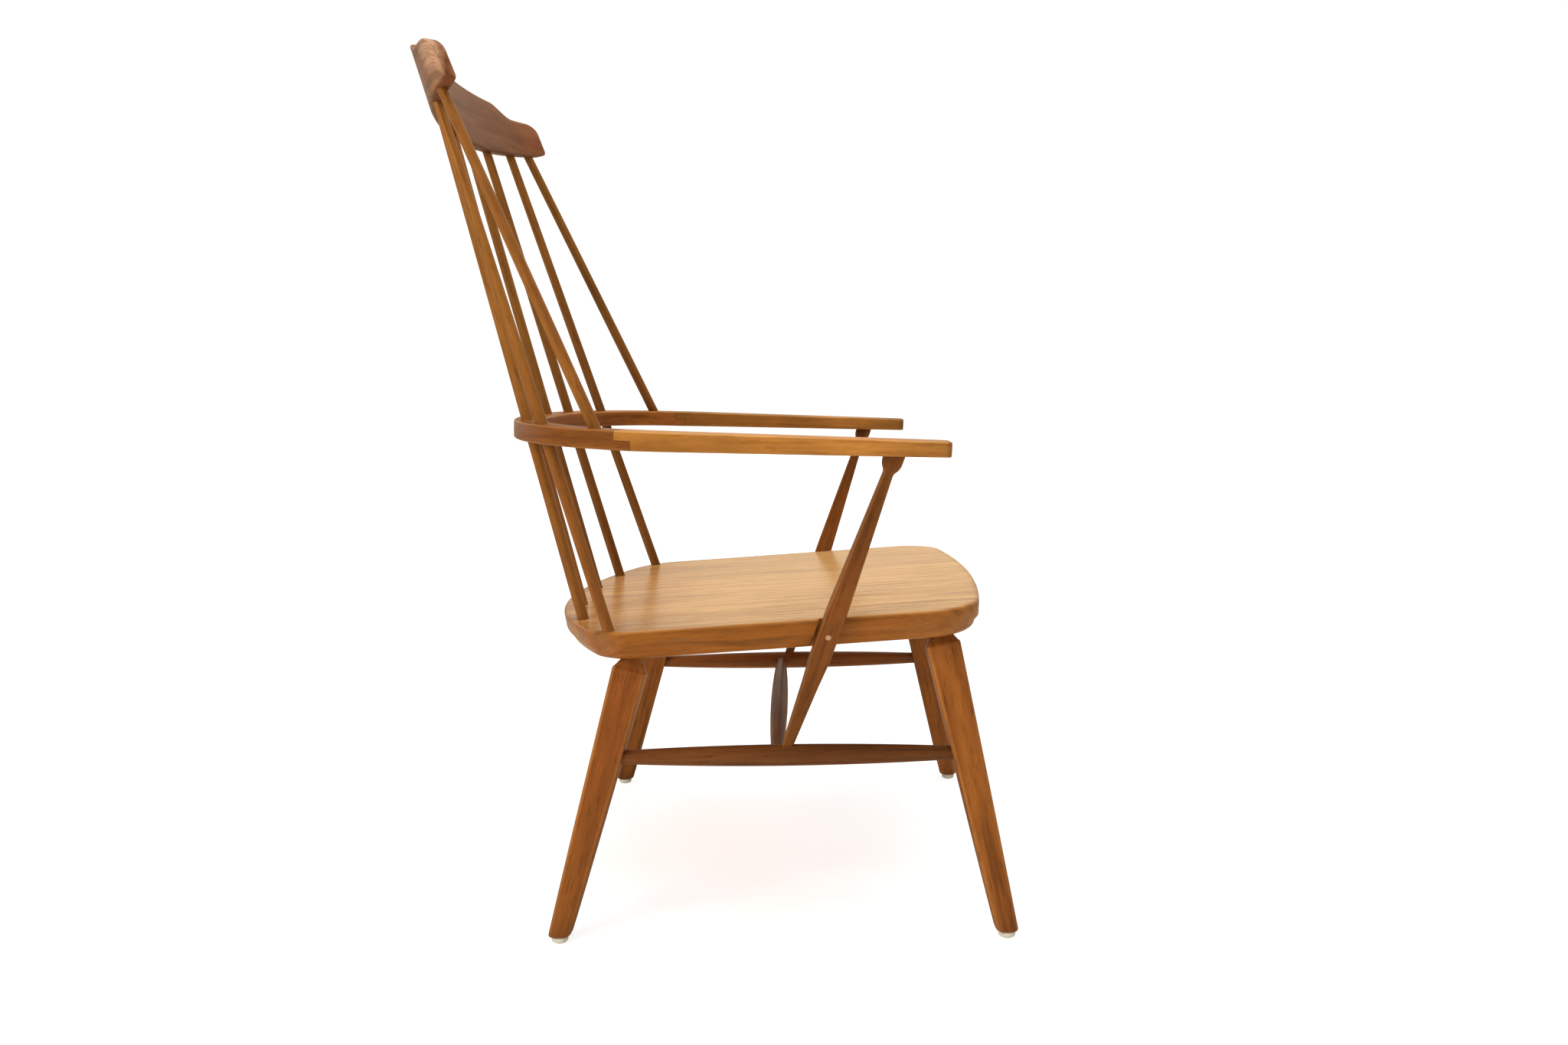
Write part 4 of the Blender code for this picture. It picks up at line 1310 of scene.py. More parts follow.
@dataclass
class Legs:
    """Four tapered, splayed legs with their glides."""

    seat: Seat
    shift: float
    foot_y: dict = field(default_factory=lambda: {End.FRONT: -0.2805, End.REAR: 0.254})
    lean: dict = field(default_factory=lambda: {End.FRONT: 0.2055, End.REAR: -0.283})
    neck: dict = field(default_factory=lambda: {End.FRONT: 0.013, End.REAR: 0.018})
    # Painted light and shade: each leg is lighter towards the seat and darker towards its foot, the rear legs
    # most.
    shade: dict = field(default_factory=lambda: {End.FRONT: (0.94, 1.13), End.REAR: (0.76, 1.30)})
    half_span: float = 0.262
    side_lean: float = 0.185
    top_depth: float = 0.0415
    top_width: float = 0.032
    foot_depth: float = 0.0255
    foot_width: float = 0.0225
    swell: float = 0.85
    corner: float = 0.006
    shoulder_drop: float = 0.009
    mouth_depth: float = 0.004
    tenon: float = 0.014
    glide_height: float = 0.007
    glide_radius: float = 0.0098
    foot_fade: float = 0.02

    FOOT_RINGS = ((0.0, 0.0032), (0.0008, 0.0022), (0.0022, 0.0008), (0.0042, 0.0))
    SHAFT_RINGS = 23
    SHAFT_ENDS = (0.012, 0.004)
    SHOULDER_RINGS = ((0.0022, 0.0003), (0.0009, 0.0009), (0.0, 0.002))
    GLIDE_RINGS = (
        (0.0, 0.0035), (0.0003, 0.0022), (0.0012, 0.0009), (0.0024, 0.0), (0.0056, 0.0), (0.0066, 0.0004),
    )
    GLIDE_TOP_INSET = 0.0014
    SIDE_TONES = {(End.FRONT, Side.LEFT): 1.06, (End.REAR, Side.LEFT): 0.88}

    def centre(self, end: End, side: Side, height: float) -> Vector:
        """Point on a leg's centre line, after the shift."""
        x = self.half_span - self.side_lean * height
        y = self.foot_y[end] + self.lean[end] * height
        return Vector((side.value * x, y + self.shift, height))

    def shoulder(self, end: End) -> float:
        """Height of the shoulder where a leg narrows below the seat."""
        near_seat = self.centre(end, Side.LEFT, self.seat.height - self.seat.thickness)
        return self.seat.underside(near_seat.y - self.shift) - self.neck[end]

    def build_leg(self, end: End, side: Side, seed: int, tone: float) -> None:
        """Make one leg with a soft shoulder and a flat foot.

        Args:
            end: End of the seat.
            side: Side of the chair.
            seed: Number that moves the grain.
            tone: Brightness of the leg.
        """
        foot = self.centre(end, side, self.glide_height + CLEARANCE)
        top = self.centre(end, side, self.shoulder(end))
        axis = (top - foot).normalized()
        up = (Vector((0, 1, 0)) - axis * axis.y).normalized()
        across = axis.cross(up)
        length = (top - foot).length
        loft = Loft(f"leg_{end.value}_{side.word}_wood", seed, tone)

        def section(place: float, inset: float) -> Section:
            """The leg's section.

            Args:
                place: Distance along the leg.
                inset: How far the section steps in all round.

            Returns:
                The section.
            """
            share = min(max(place / length, 0.0), 1.0) ** self.swell
            half_depth = between(self.foot_depth, self.top_depth, share) / 2 - inset
            half_width = between(self.foot_width, self.top_width, share) / 2 - inset
            # Painted light and shade along the leg, from the pair above, and darker over the lowest 2 cm.
            tone = (0.86 + 0.14 * blend(place / self.foot_fade)) * between(*self.shade[end], share)
            centre, corner = foot + axis * place, self.corner - inset / 2
            return Section(centre, across, up, half_width, half_depth, corner, place, tone)

        for place, inset in self.FOOT_RINGS:
            ring = section(place, inset).ring()
            level = foot.z + place * axis.z
            ring.points = [point + axis * ((level - point.z) / axis.z) for point in ring.points]
            loft.add(ring)
        for step in range(1, self.SHAFT_RINGS + 1):
            place = between(self.SHAFT_ENDS[0], length - self.SHAFT_ENDS[1], step / self.SHAFT_RINGS)
            loft.add(section(place, 0.0).ring())
        for distance, inset in self.SHOULDER_RINGS:
            loft.add(section(length - distance, inset).ring())
        neck = top + axis * self.shoulder_drop
        rise = self.seat.underside(top.y - self.shift) - top.z
        mouth = top + axis * (rise / axis.z + self.mouth_depth)
        for index, point in enumerate((neck, mouth)):
            mark = length + 0.01 * (index + 1)
            loft.add(Section.disc(point, across, up, self.tenon, mark).ring())
        register(loft.build(Slot.LEG), f"leg_{end.value}_{side.word}")

    def build_glide(self, end: End, side: Side) -> None:
        """Make one domed glide under a foot.

        Args:
            end: End of the seat.
            side: Side of the chair.
        """
        base = self.centre(end, side, self.glide_height)
        loft = Loft(f"glide_{end.value}_{side.word}_disc", 1)
        for height, inset in (*self.GLIDE_RINGS, (self.glide_height, self.GLIDE_TOP_INSET)):
            centre = Vector((base.x, base.y, height))
            radius = self.glide_radius - inset
            loft.add(Section.disc(centre, Vector((1, 0, 0)), Vector((0, 1, 0)), radius, height).ring())
        register(loft.build(Slot.GLIDE), f"glide_{end.value}_{side.word}")

    def build(self) -> None:
        """Make the legs and glides."""
        for seed, (end, side) in enumerate((end, side) for end in End for side in Side):
            self.build_leg(end, side, 11 + seed, self.SIDE_TONES.get((end, side), 1.0))
            self.build_glide(end, side)


@dataclass
class Stretchers:
    """Two side stretchers and the cross stretcher between them."""

    stick: TurnedStick
    side_radius: float = 0.0128
    side_end_radius: float = 0.0075
    cross_radius: float = 0.0118
    cross_end_radius: float = 0.007

    # Painted light: the far side stretcher and the cross stretcher, in shade under the seat, are made
    # brighter.
    SIDE_TONES = {Side.LEFT: 1.75, Side.RIGHT: 1.04}
    CROSS_TONE = 1.4

    def build(self) -> None:
        """Turn the three stretchers."""
        radii = (self.side_end_radius, self.side_radius)
        for seed, side in enumerate(Side):
            node = f"side_stretcher_{side.word}"
            start, stop = stick_ends(node, self.side_end_radius, self.side_end_radius, Vector((1, 1, 1)))
            start.x = stop.x = (start.x + stop.x) / 2
            start.z = stop.z = (start.z + stop.z) / 2
            self.turn(node, 31 + seed, (start, stop), radii, self.SIDE_TONES[side])
        low, high = (Vector(corner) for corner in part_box("cross_stretcher"))
        middle = (low + high) / 2
        ends = (Vector((low.x, middle.y, middle.z)), Vector((high.x, middle.y, middle.z)))
        self.turn("cross_stretcher", 37, ends, (self.cross_end_radius, self.cross_radius), self.CROSS_TONE)

    def turn(
        self, node: str, seed: int, ends: tuple[Vector, Vector], radii: tuple[float, float], tone: float
    ) -> None:
        """Turn one cigar-shaped stick between two points.

        Args:
            node: Name of the solid that it stands for.
            seed: Number that moves the grain.
            ends: Middles of the two end faces.
            radii: Radius at both ends, and in the middle.
            tone: Brightness of the stick.
        """
        values = {
            "Start": ends[0], "End": ends[1], "Start Radius": radii[0], "End Radius": radii[0],
            "Middle Radius": radii[1], "Middle Place": 0.5, "Swell": 1.0, "Sides": 40, "Steps": 60,
            "Tone": tone,
        }
        register(self.stick.make(node + "_wood", Slot.STRETCHER, seed, values), node)


class Track:
    """A line in plan that a piece is laid along by distance."""

    REACH = 0.004

    def __init__(self, points: Sequence[Vector]) -> None:
        """Measure how far along the line each of its points lies.

        Args:
            points: The line's points.
        """
        self.points = points
        self.marks = [0.0]
        for start, stop in zip(points, points[1:]):
            self.marks.append(self.marks[-1] + (stop - start).length)

    def point(self, place: float) -> Vector:
        """Find a point of the line, carried straight on past its ends.

        Args:
            place: Distance along the line.

        Returns:
            The point.
        """
        last = len(self.marks) - 1
        after = max(next((index for index, mark in enumerate(self.marks) if mark >= place), last), 1)
        start, stop = self.points[after - 1], self.points[after]
        share = (place - self.marks[after - 1]) / (self.marks[after] - self.marks[after - 1])
        return start.lerp(stop, share) if 0 <= share <= 1 else start + (stop - start) * share

    def heading(self, place: float) -> Vector:
        """Direction of the line at a distance along it."""
        return (self.point(place + self.REACH) - self.point(place - self.REACH)).normalized()


@dataclass
class ArmRail:
    """Two arms lapped to the bent back bow."""

    shift: float
    bow_maker: BentBow
    height: float = 0.599
    tilt: float = math.radians(2.95)
    arm_width: float = 0.043
    bow_width: float = 0.037
    thickness: float = 0.022
    half_span: float = 0.280
    curve_start_y: float = 0.088
    curve_depth: float = 0.2165
    squareness: float = 2.4
    edge_round: float = 0.0024
    end_round: float = 0.0016
    front_y: float = -0.210
    front_thickness: float = 0.017
    front_corner: float = 0.008
    joint_y: float = 0.145
    lap: float = 0.018
    lap_gap: float = 0.00015
    shoulder_gap: float = 0.0001
    tongue_gap: float = 0.0002
    width_run: float = 0.070
    track: Track = field(init=False)

    STRAIGHT_STEPS = 8
    CURVE_STEPS = 180
    CORNER_RINGS = 9
    ARM_RINGS = 60

    def __post_init__(self) -> None:
        """Lay out the centre line."""
        self.track = Track(self.line())

    def top(self, y: float) -> float:
        """Height of the top face at a Y measured before the shift."""
        return self.height + math.tan(self.tilt) * y

    def thickness_at(self, y: float) -> float:
        """Thickness, less towards the front."""
        share = (self.joint_y - y) / (self.joint_y - self.front_y)
        return between(self.thickness, self.front_thickness, min(max(share, 0.0), 1.0))

    def width_at(self, y: float) -> float:
        """Width, which grows from the bow into the arms."""
        return between(self.bow_width, self.arm_width, blend(0.5 + (self.joint_y - y) / self.width_run))

    def tone_at(self, y: float) -> float:
        """Brightness of an arm's wood, darker at its front end and towards the bow.

        Args:
            y: Y of the place, measured before the shift.

        Returns:
            The brightness.
        """
        past = y - self.front_y
        tone = 0.86 + 0.14 * blend((past - 0.002) / 0.010)
        tone *= 0.72 + 0.28 * blend((past - 0.02) / 0.08)
        return tone * (1.04 - 0.18 * blend((y + 0.10) / 0.06) - 0.10 * blend(y / 0.15))

    def line(self) -> list[Vector]:
        """Lay out the centre line of the rail in plan, from the left front round the back.

        Returns:
            The line's points.
        """
        half = []
        for step in range(self.STRAIGHT_STEPS):
            y = between(self.front_y, self.curve_start_y, step / self.STRAIGHT_STEPS)
            half.append(Vector((self.half_span, y)))
        for step in range(self.CURVE_STEPS + 1):
            angle = math.radians(90) * step / self.CURVE_STEPS
            x = self.half_span * max(math.cos(angle), 0.0) ** (2 / self.squareness)
            y = self.curve_start_y + self.curve_depth * math.sin(angle) ** (2 / self.squareness)
            half.append(Vector((x, y)))
        half[-1].x = 0.0
        return half + [Vector((-point.x, point.y)) for point in reversed(half[:-1])]

    def angle_at(self, y: float) -> float:
        """Angle on the bow's squared ellipse where its centre line reaches a Y."""
        return math.asin(((y - self.curve_start_y) / self.curve_depth) ** (self.squareness / 2))

    def build(self) -> None:
        """Make the two arms and the bow, with their lapped joints."""
        places = zip(self.track.marks, self.track.points)
        joint = next(mark for mark, point in places if point.y >= self.joint_y)
        near, far = joint - self.lap / 2, joint + self.lap / 2
        for side, seed, tone in ((Side.LEFT, 41, 0.66), (Side.RIGHT, 43, 1.0)):
            self.build_arm(side, near, far, seed, tone)
        start = self.angle_at(self.track.point(near + CLEARANCE).y)
        shoulder = self.angle_at(self.track.point(far + self.shoulder_gap).y)
        values = {
            "Half Span": self.half_span, "Curve Start Y": self.curve_start_y, "Curve Depth": self.curve_depth,
            "Squareness": self.squareness, "Shoulder Angle": shoulder, "Tongue Angle": shoulder - start,
            "Width": self.bow_width, "Arm Width": self.arm_width, "Joint Y": self.joint_y,
            "Width Run": self.width_run, "Thickness": self.thickness, "Edge Radius": self.edge_round,
            "Lap Gap": self.lap_gap, "Tilt": self.tilt, "Place": Vector((0, self.shift, self.height)),
            "Steps": 260, "Edge Steps": 6, "Tone": 1.0,
        }
        register(self.bow_maker.make("back_bow_wood", Slot.BOW, 47, values), "back_bow")

    def build_arm(self, side: Side, near: float, far: float, seed: int, tone: float) -> None:
        """Make one arm with a soft front end and a half-thickness tongue at the back.

        Args:
            side: Side of the chair.
            near: Where the tongue starts on the track.
            far: Where the tongue ends on the track.
            seed: Number that moves the grain.
            tone: Brightness of the arm.
        """
        node = f"arm_{side.word}"
        loft = Loft(node + "_wood", seed, tone)
        shoulder = near - self.shoulder_gap
        for distance, inset in soft_insets(self.end_round, 4):
            loft.add(self.section(side, distance, inset))
        for step in range(1, self.CORNER_RINGS + 1):
            place = between(self.end_round, self.front_corner, (step / self.CORNER_RINGS) ** 1.3)
            loft.add(self.section(side, place))
        for step in range(1, self.ARM_RINGS + 1):
            loft.add(self.section(side, between(self.front_corner, shoulder, step / self.ARM_RINGS)))
        for place in (shoulder, far - self.tongue_gap):
            loft.add(self.section(side, place, 0.0, self.lap_gap))
        register(loft.build(Slot.ARM), node)

    def section(self, side: Side, place: float, inset: float = 0.0, lowest: float = -1.0) -> Ring:
        """The arm's section at a distance along the track.

        Args:
            side: Side of the chair.
            place: Distance along the track.
            inset: How far the section steps in all round.
            lowest: Height above the section's middle under which the section is cut off.

        Returns:
            The section's ring.
        """
        point, along = self.track.point(place), self.track.heading(place)
        short = min(max(self.front_corner - (point.y - self.front_y), 0.0), self.front_corner)
        tip = self.front_corner - math.sqrt(self.front_corner ** 2 - short ** 2)
        thickness = self.thickness_at(point.y)
        centre = Vector((side.value * point.x, point.y, -thickness / 2))
        across = Vector((side.value * along.y, -along.x, 0.0))
        size = (self.width_at(point.y) / 2 - max(tip, inset), thickness / 2 - inset, self.edge_round)
        ring = Section(centre, across, Vector((0, 0, 1)), *size, place, self.tone_at(point.y), lowest).ring()
        turn = Matrix.Rotation(self.tilt, 4, "X")
        ring.points = [turn @ spot + Vector((0, self.shift, self.height)) for spot in ring.points]
        return ring


@dataclass
class ArmPosts:
    """Flat tapered posts from the side stretchers, past the seat, to the arms, with their plugs."""

    legs: Legs
    rail: ArmRail
    shift: float
    foot_y: float = -0.023
    head_y: float = -0.1476
    foot_depth: float = 0.0125
    seat_depth: float = 0.024
    neck_depth: float = 0.0115
    head_depth: float = 0.0225
    foot_width: float = 0.011
    seat_width: float = 0.018
    head_width: float = 0.015
    head_length: float = 0.020
    corner: float = 0.003
    seating: float = 0.0022
    stretcher_height: float = 0.2125
    stretcher_radius: float = 0.0128
    plug_radius: float = 0.0034
    notch_ease: float = 0.0003
    notch_room: float = 0.003
    nominal_rise: float = 0.3488
    plug_stand: float = 0.0004

    RINGS = 120
    SMOOTHING = (-1, -0.5, 0, 0.5, 1)
    BODY_WINDOW = 0.010
    HEAD_WINDOW = 0.004
    HEAD_SHARE = 0.9
    PLUG_RINGS = ((0.0, 0.0020), (0.0001, 0.0010), (0.0003, 0.0003), (0.0005, 0.0), (0.003, 0.0))
    PAIR = ((Side.RIGHT, 57, 0.86), (Side.LEFT, 59, 0.80))

    def line(self, side: Side) -> tuple[Vector, Vector]:
        """Find a post's centre line.

        Args:
            side: Side of the chair.

        Returns:
            Its foot and its head, after the shift.
        """
        foot_x = self.legs.centre(End.FRONT, side, self.stretcher_height).x
        foot = Vector((foot_x, self.foot_y + self.shift, self.stretcher_height + self.stretcher_radius))
        thickness = self.rail.thickness_at(self.head_y) / math.cos(self.rail.tilt)
        underside = self.rail.top(self.head_y) - thickness
        return foot, Vector((side.value * self.rail.half_span, self.head_y + self.shift, underside))

    def stations(self, length: float) -> tuple[tuple[float, float, float], ...]:
        """Where the taper of a post changes.

        Args:
            length: Length of the post.

        Returns:
            Share of the length, depth and width at each of those places.
        """
        seat_rise = self.legs.seat.top(0.0) - self.stretcher_height - self.stretcher_radius
        seat_share = seat_rise / self.nominal_rise
        neck = 1 - self.head_length / length
        bulge = 1 - 0.45 * self.head_length / length
        calf_depth = between(self.foot_depth, self.seat_depth, 0.6)
        calf_width = between(self.foot_width, self.seat_width, 0.6)
        return (
            (-0.01, self.foot_depth, self.foot_width),
            (seat_share / 2, calf_depth, calf_width),
            (seat_share - 0.12, self.seat_depth, self.seat_width),
            (seat_share + 0.03, self.seat_depth, self.seat_width),
            ((seat_share + neck) / 2, between(self.seat_depth, self.neck_depth, 0.45), self.head_width),
            (neck, self.neck_depth, between(self.head_width, self.foot_width, 0.5)),
            (between(neck, bulge, 0.5), between(self.neck_depth, self.head_depth, 0.7), self.head_width),
            (bulge, self.head_depth, self.head_width),
            (1.01, self.head_depth, self.head_width),
        )

    def sizes(self, share: float, length: float) -> tuple[float, float]:
        """Depth and width of a post at a share of its length.

        Args:
            share: Place along the post, from 0 at the foot to 1 at the arm.
            length: Length of the post.

        Returns:
            The depth and the width.
        """
        stations = self.stations(length)
        for (start, depth, width), (stop, next_depth, next_width) in zip(stations, stations[1:]):
            if share <= stop:
                part = (share - start) / (stop - start)
                return between(depth, next_depth, part), between(width, next_width, part)
        return self.head_depth, self.head_width

    def shade_at(self, share: float) -> float:
        """Brightness of a post, with painted shade: darker below the seat and towards the arm, brightest just
        above the seat.
        """
        return 0.68 + 0.32 * blend(share / 0.55) - 0.22 * blend((share - 0.55) / 0.3)

    def axes(self, side: Side) -> tuple[Vector, Vector, Vector]:
        """Find the directions of a post.

        Args:
            side: Side of the chair.

        Returns:
            Directions along the post, across it towards the side, and across it towards the back.
        """
        foot, head = self.line(side)
        axis = (head - foot).normalized()
        up = (Vector((0, 1, 0)) - axis * axis.y).normalized()
        return axis, axis.cross(up), up

    def loft(
        self, name: str, side: Side, seed: int, tone: float, ease: float = 0.0, back_ease: float = 0.0
    ) -> Loft:
        """A post from its foot to its head, smoothed between its stations.

        Args:
            name: Name of the piece.
            side: Side of the chair.
            seed: Number that moves the grain.
            tone: Brightness of the post.
            ease: Extra size all round.
            back_ease: Extra size towards the back.

        Returns:
            The loft of the post.
        """
        foot, head = self.line(side)
        axis, across, up = self.axes(side)
        length = (head - foot).length
        loft = Loft(name, seed, tone)
        for step in range(self.RINGS + 1):
            share = -self.seating / length + (1 + self.seating / length) * step / self.RINGS
            window = self.BODY_WINDOW if share < self.HEAD_SHARE else self.HEAD_WINDOW
            near = [self.sizes(share + offset * window, length) for offset in self.SMOOTHING]
            depth = sum(size[0] for size in near) / len(near) + back_ease
            width = sum(size[1] for size in near) / len(near)
            centre = foot + axis * (share * length) + up * (back_ease / 2)
            size = (width / 2 + ease, depth / 2 + ease, self.corner)
            loft.add(Section(centre, across, up, *size, share * length, self.shade_at(share)).ring())
        return loft

    def build_post(self, side: Side, seed: int, tone: float) -> None:
        """Make one post, cut at the top along the arm's underside.

        Args:
            side: Side of the chair.
            seed: Number that moves the grain.
            tone: Brightness of the post.
        """
        node = f"arm_post_{side.word}"
        head = self.line(side)[1]
        axis = self.axes(side)[0]
        loft = self.loft(node + "_wood", side, seed, tone)
        slope = math.tan(self.rail.tilt)
        slope += (self.rail.thickness - self.rail.front_thickness) / (self.rail.front_y - self.rail.joint_y)
        last = loft.rings[-1]
        last.points = [
            point + axis * ((head.z + slope * (point.y - head.y) - point.z) / (axis.z - slope * axis.y))
            for point in last.points
        ]
        register(loft.build(Slot.LEG), node)

    def notch(self, side: Side) -> bpy.types.Object:
        """Cutter of the notch in the seat's edge that a post passes, with room behind the post."""
        loft = self.loft(f"notch_{side.word}", side, 5, 0.45, self.notch_ease, self.notch_room)
        return loft.build(Slot.SEAT)

    def build_plug(self, side: Side) -> None:
        """Make the slightly domed wooden plug over a post's screw.

        Args:
            side: Side of the chair.
        """
        node = f"plug_{side.word}"
        low, high = (Vector(corner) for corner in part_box(node))
        height = (low.z + high.z) / 2
        foot, head = self.line(side)
        axis, across, up = self.axes(side)
        outward = across * -side.value
        share = (height - foot.z) / (head.z - foot.z)
        face = foot + (head - foot) * share + outward * (self.seat_width / 2 + self.plug_stand)
        loft = Loft(node + "_wood", 53)
        for distance, inset in self.PLUG_RINGS:
            centre = face - outward * distance
            loft.add(Section.disc(centre, up, axis, self.plug_radius - inset, distance).ring())
        register(loft.build(Slot.PLUG), node)

    def build(self) -> None:
        """Make the posts and plugs, and dress the hidden screws."""
        for side, seed, tone in self.PAIR:
            self.build_post(side, seed, tone)
            self.build_plug(side)
            FINISHER.dress_solid(f"screw_{side.word}", Slot.SCREW)


@dataclass
class SpindleBack:
    """Six long spindles and two short ones."""

    stick: TurnedStick
    foot_radius: float = 0.0070
    rail_radius: float = 0.0068
    crest_radius: float = 0.0058
    chamfer: float = 0.001
    rail_height: float = 0.599
    short_middle: float = 0.3

    # Painted light and shade: the near (right) spindles are made brighter and the far (left) ones darker.
    SIDE_TONES = {Side.RIGHT: 1.22, Side.LEFT: 0.84}
    ROWS = (("inner", 1.0), ("middle", 0.96), ("outer", 1.04), ("short", 0.98))

    def build(self) -> None:
        """Turn all the spindles."""
        for index, (name, tone) in enumerate(self.ROWS):
            for side in Side:
                node = f"spindle_{name}_{side.word}"
                first = self.rail_radius if name == "short" else self.foot_radius
                flip = Vector((-side.value, 1, 1))
                faces = (first - self.chamfer, self.crest_radius - self.chamfer)
                start, stop = stick_ends(node, *faces, flip)
                place = (self.rail_height - start.z) / (stop.z - start.z)
                values = {
                    "Start": start, "End": stop, "Start Radius": first, "Middle Radius": self.rail_radius,
                    "End Radius": self.crest_radius, "Swell": 0.0, "Sides": 32, "Steps": 48,
                    "Middle Place": self.short_middle if name == "short" else place,
                    "Tone": self.SIDE_TONES[side] * tone,
                }
                piece = self.stick.make(node + "_wood", Slot.SPINDLE, 61 + 2 * index + side.value, values)
                register(piece, node)


@dataclass
class CrestRail:
    """The curved and raked crest rail with a raised middle and two round ears."""

    shift: float
    back_y: float = 0.3915
    rake: float = 0.2307
    rake_gain: float = 2.451
    top: float = 1.054
    ear_top: float = 1.039
    bottom: float = 0.974
    end_rise: float = 0.019
    half_span: float = 0.2315
    hump_end: float = 0.140
    ear_start: float = 0.190
    ear_round: float = 0.014
    thickness: float = 0.020
    edge_round: float = 0.0045
    curve_half_width: float = 0.250
    curve_depth: float = 0.105
    soft_end: float = 0.003
    edge_wear: float = 0.4

    FLAT_STEPS = 70
    EAR_STEPS = 8

    def sag(self, spread: float) -> float:
        """How far the middle surface lies in front of its centre, in plan."""
        return self.curve_depth * (1 - math.sqrt(1 - (spread / self.curve_half_width) ** 2))

    def rounding(self, spread: float) -> float:
        """How far the round end of an ear falls away."""
        past = abs(spread) - (self.half_span - self.ear_round)
        share = min(max(past / self.ear_round, 0.0), 1.0)
        return self.ear_round * (1 - math.sqrt(1 - share ** 2))

    def bottom_height(self, spread: float) -> float:
        """Height of the lower edge, which rises to the ears."""
        return self.bottom + self.end_rise * (spread / self.half_span) ** 2 + 0.3 * self.rounding(spread)

    def top_height(self, spread: float) -> float:
        """Height of the upper edge: a hump that drops through a curve to the ears."""
        drop = blend((abs(spread) - self.hump_end) / (self.ear_start - self.hump_end))
        return between(self.top, self.ear_top, drop) - self.rounding(spread)

    def lean(self, spread: float) -> float:
        """How far the rail leans back for each unit of height."""
        return self.rake + self.rake_gain * spread ** 2

    def centre(self, spread: float) -> Vector:
        """Middle of the section that stands at a place along X."""
        middle = (self.bottom_height(spread) + self.top_height(spread)) / 2
        y = self.back_y - self.sag(spread) + self.lean(spread) * (middle - self.bottom) + self.shift
        return Vector((spread, y, middle))

    def tone_at(self, spread: float) -> float:
        """Brightness of the wood, with painted light that makes the ears lighter and their ends lightest."""
        tone = 1.0 + 0.10 * blend((abs(spread) - self.half_span + 0.006) / 0.006)
        return tone + 0.25 * blend((abs(spread) - self.ear_start + 0.01) / 0.04)

    def spreads(self) -> list[float]:
        """List the places along X at which the rail has a section.

        Returns:
            The places, close together in the round ends.
        """
        flat = self.half_span - self.ear_round
        half = [flat * step / self.FLAT_STEPS for step in range(self.FLAT_STEPS + 1)]
        for step in range(1, self.EAR_STEPS + 1):
            angle = math.radians(90) * step / self.EAR_STEPS
            half.append(self.half_span - self.ear_round * (1 - math.sin(angle)))
        return [-spread for spread in reversed(half[1:])] + half

    def ring(self, spread: float, mark: float) -> Ring:
        """The section at a place along X, worn at its edges, with painted light on the back faces of the
        ears.

        Args:
            spread: The place along X.
            mark: Distance along the rail.

        Returns:
            The section's ring.
        """
        slope = self.curve_depth * spread / self.curve_half_width ** 2
        slope /= math.sqrt(1 - (spread / self.curve_half_width) ** 2)
        across = Vector((slope, 1, 0)).normalized()
        past = abs(spread) - (self.half_span - self.soft_end)
        soft = self.soft_end * (1 - math.sqrt(1 - min(max(past / self.soft_end, 0.0), 1.0) ** 2))
        half_height = (self.top_height(spread) - self.bottom_height(spread)) / 2
        size = (self.thickness / 2 - soft, half_height, self.edge_round)
        centre = self.centre(spread)
        up = Vector((0, self.lean(spread), 1))
        ring = Section(centre, across, up, *size, mark, self.tone_at(spread)).ring()
        # Painted light: the back faces of the ears are painted in the pale worn colour in full.
        faded = blend((abs(spread) - self.ear_start) / 0.03)
        lit_ear_backs = [faded * blend((point - centre).dot(across) / size[0]) for point in ring.points]
        ring.wear = [between(wear * self.edge_wear, 1.0, back) for wear, back in zip(ring.wear, lit_ear_backs)]
        return ring

    def build(self) -> None:
        """Make the crest rail."""
        loft = Loft("crest_rail_wood", 71)
        mark = 0.0
        previous = None
        for spread in self.spreads():
            centre = self.centre(spread)
            mark += (centre - previous).length if previous else 0.0
            previous = centre
            loft.add(self.ring(spread, mark))
        register(loft.build(Slot.CREST), "crest_rail")


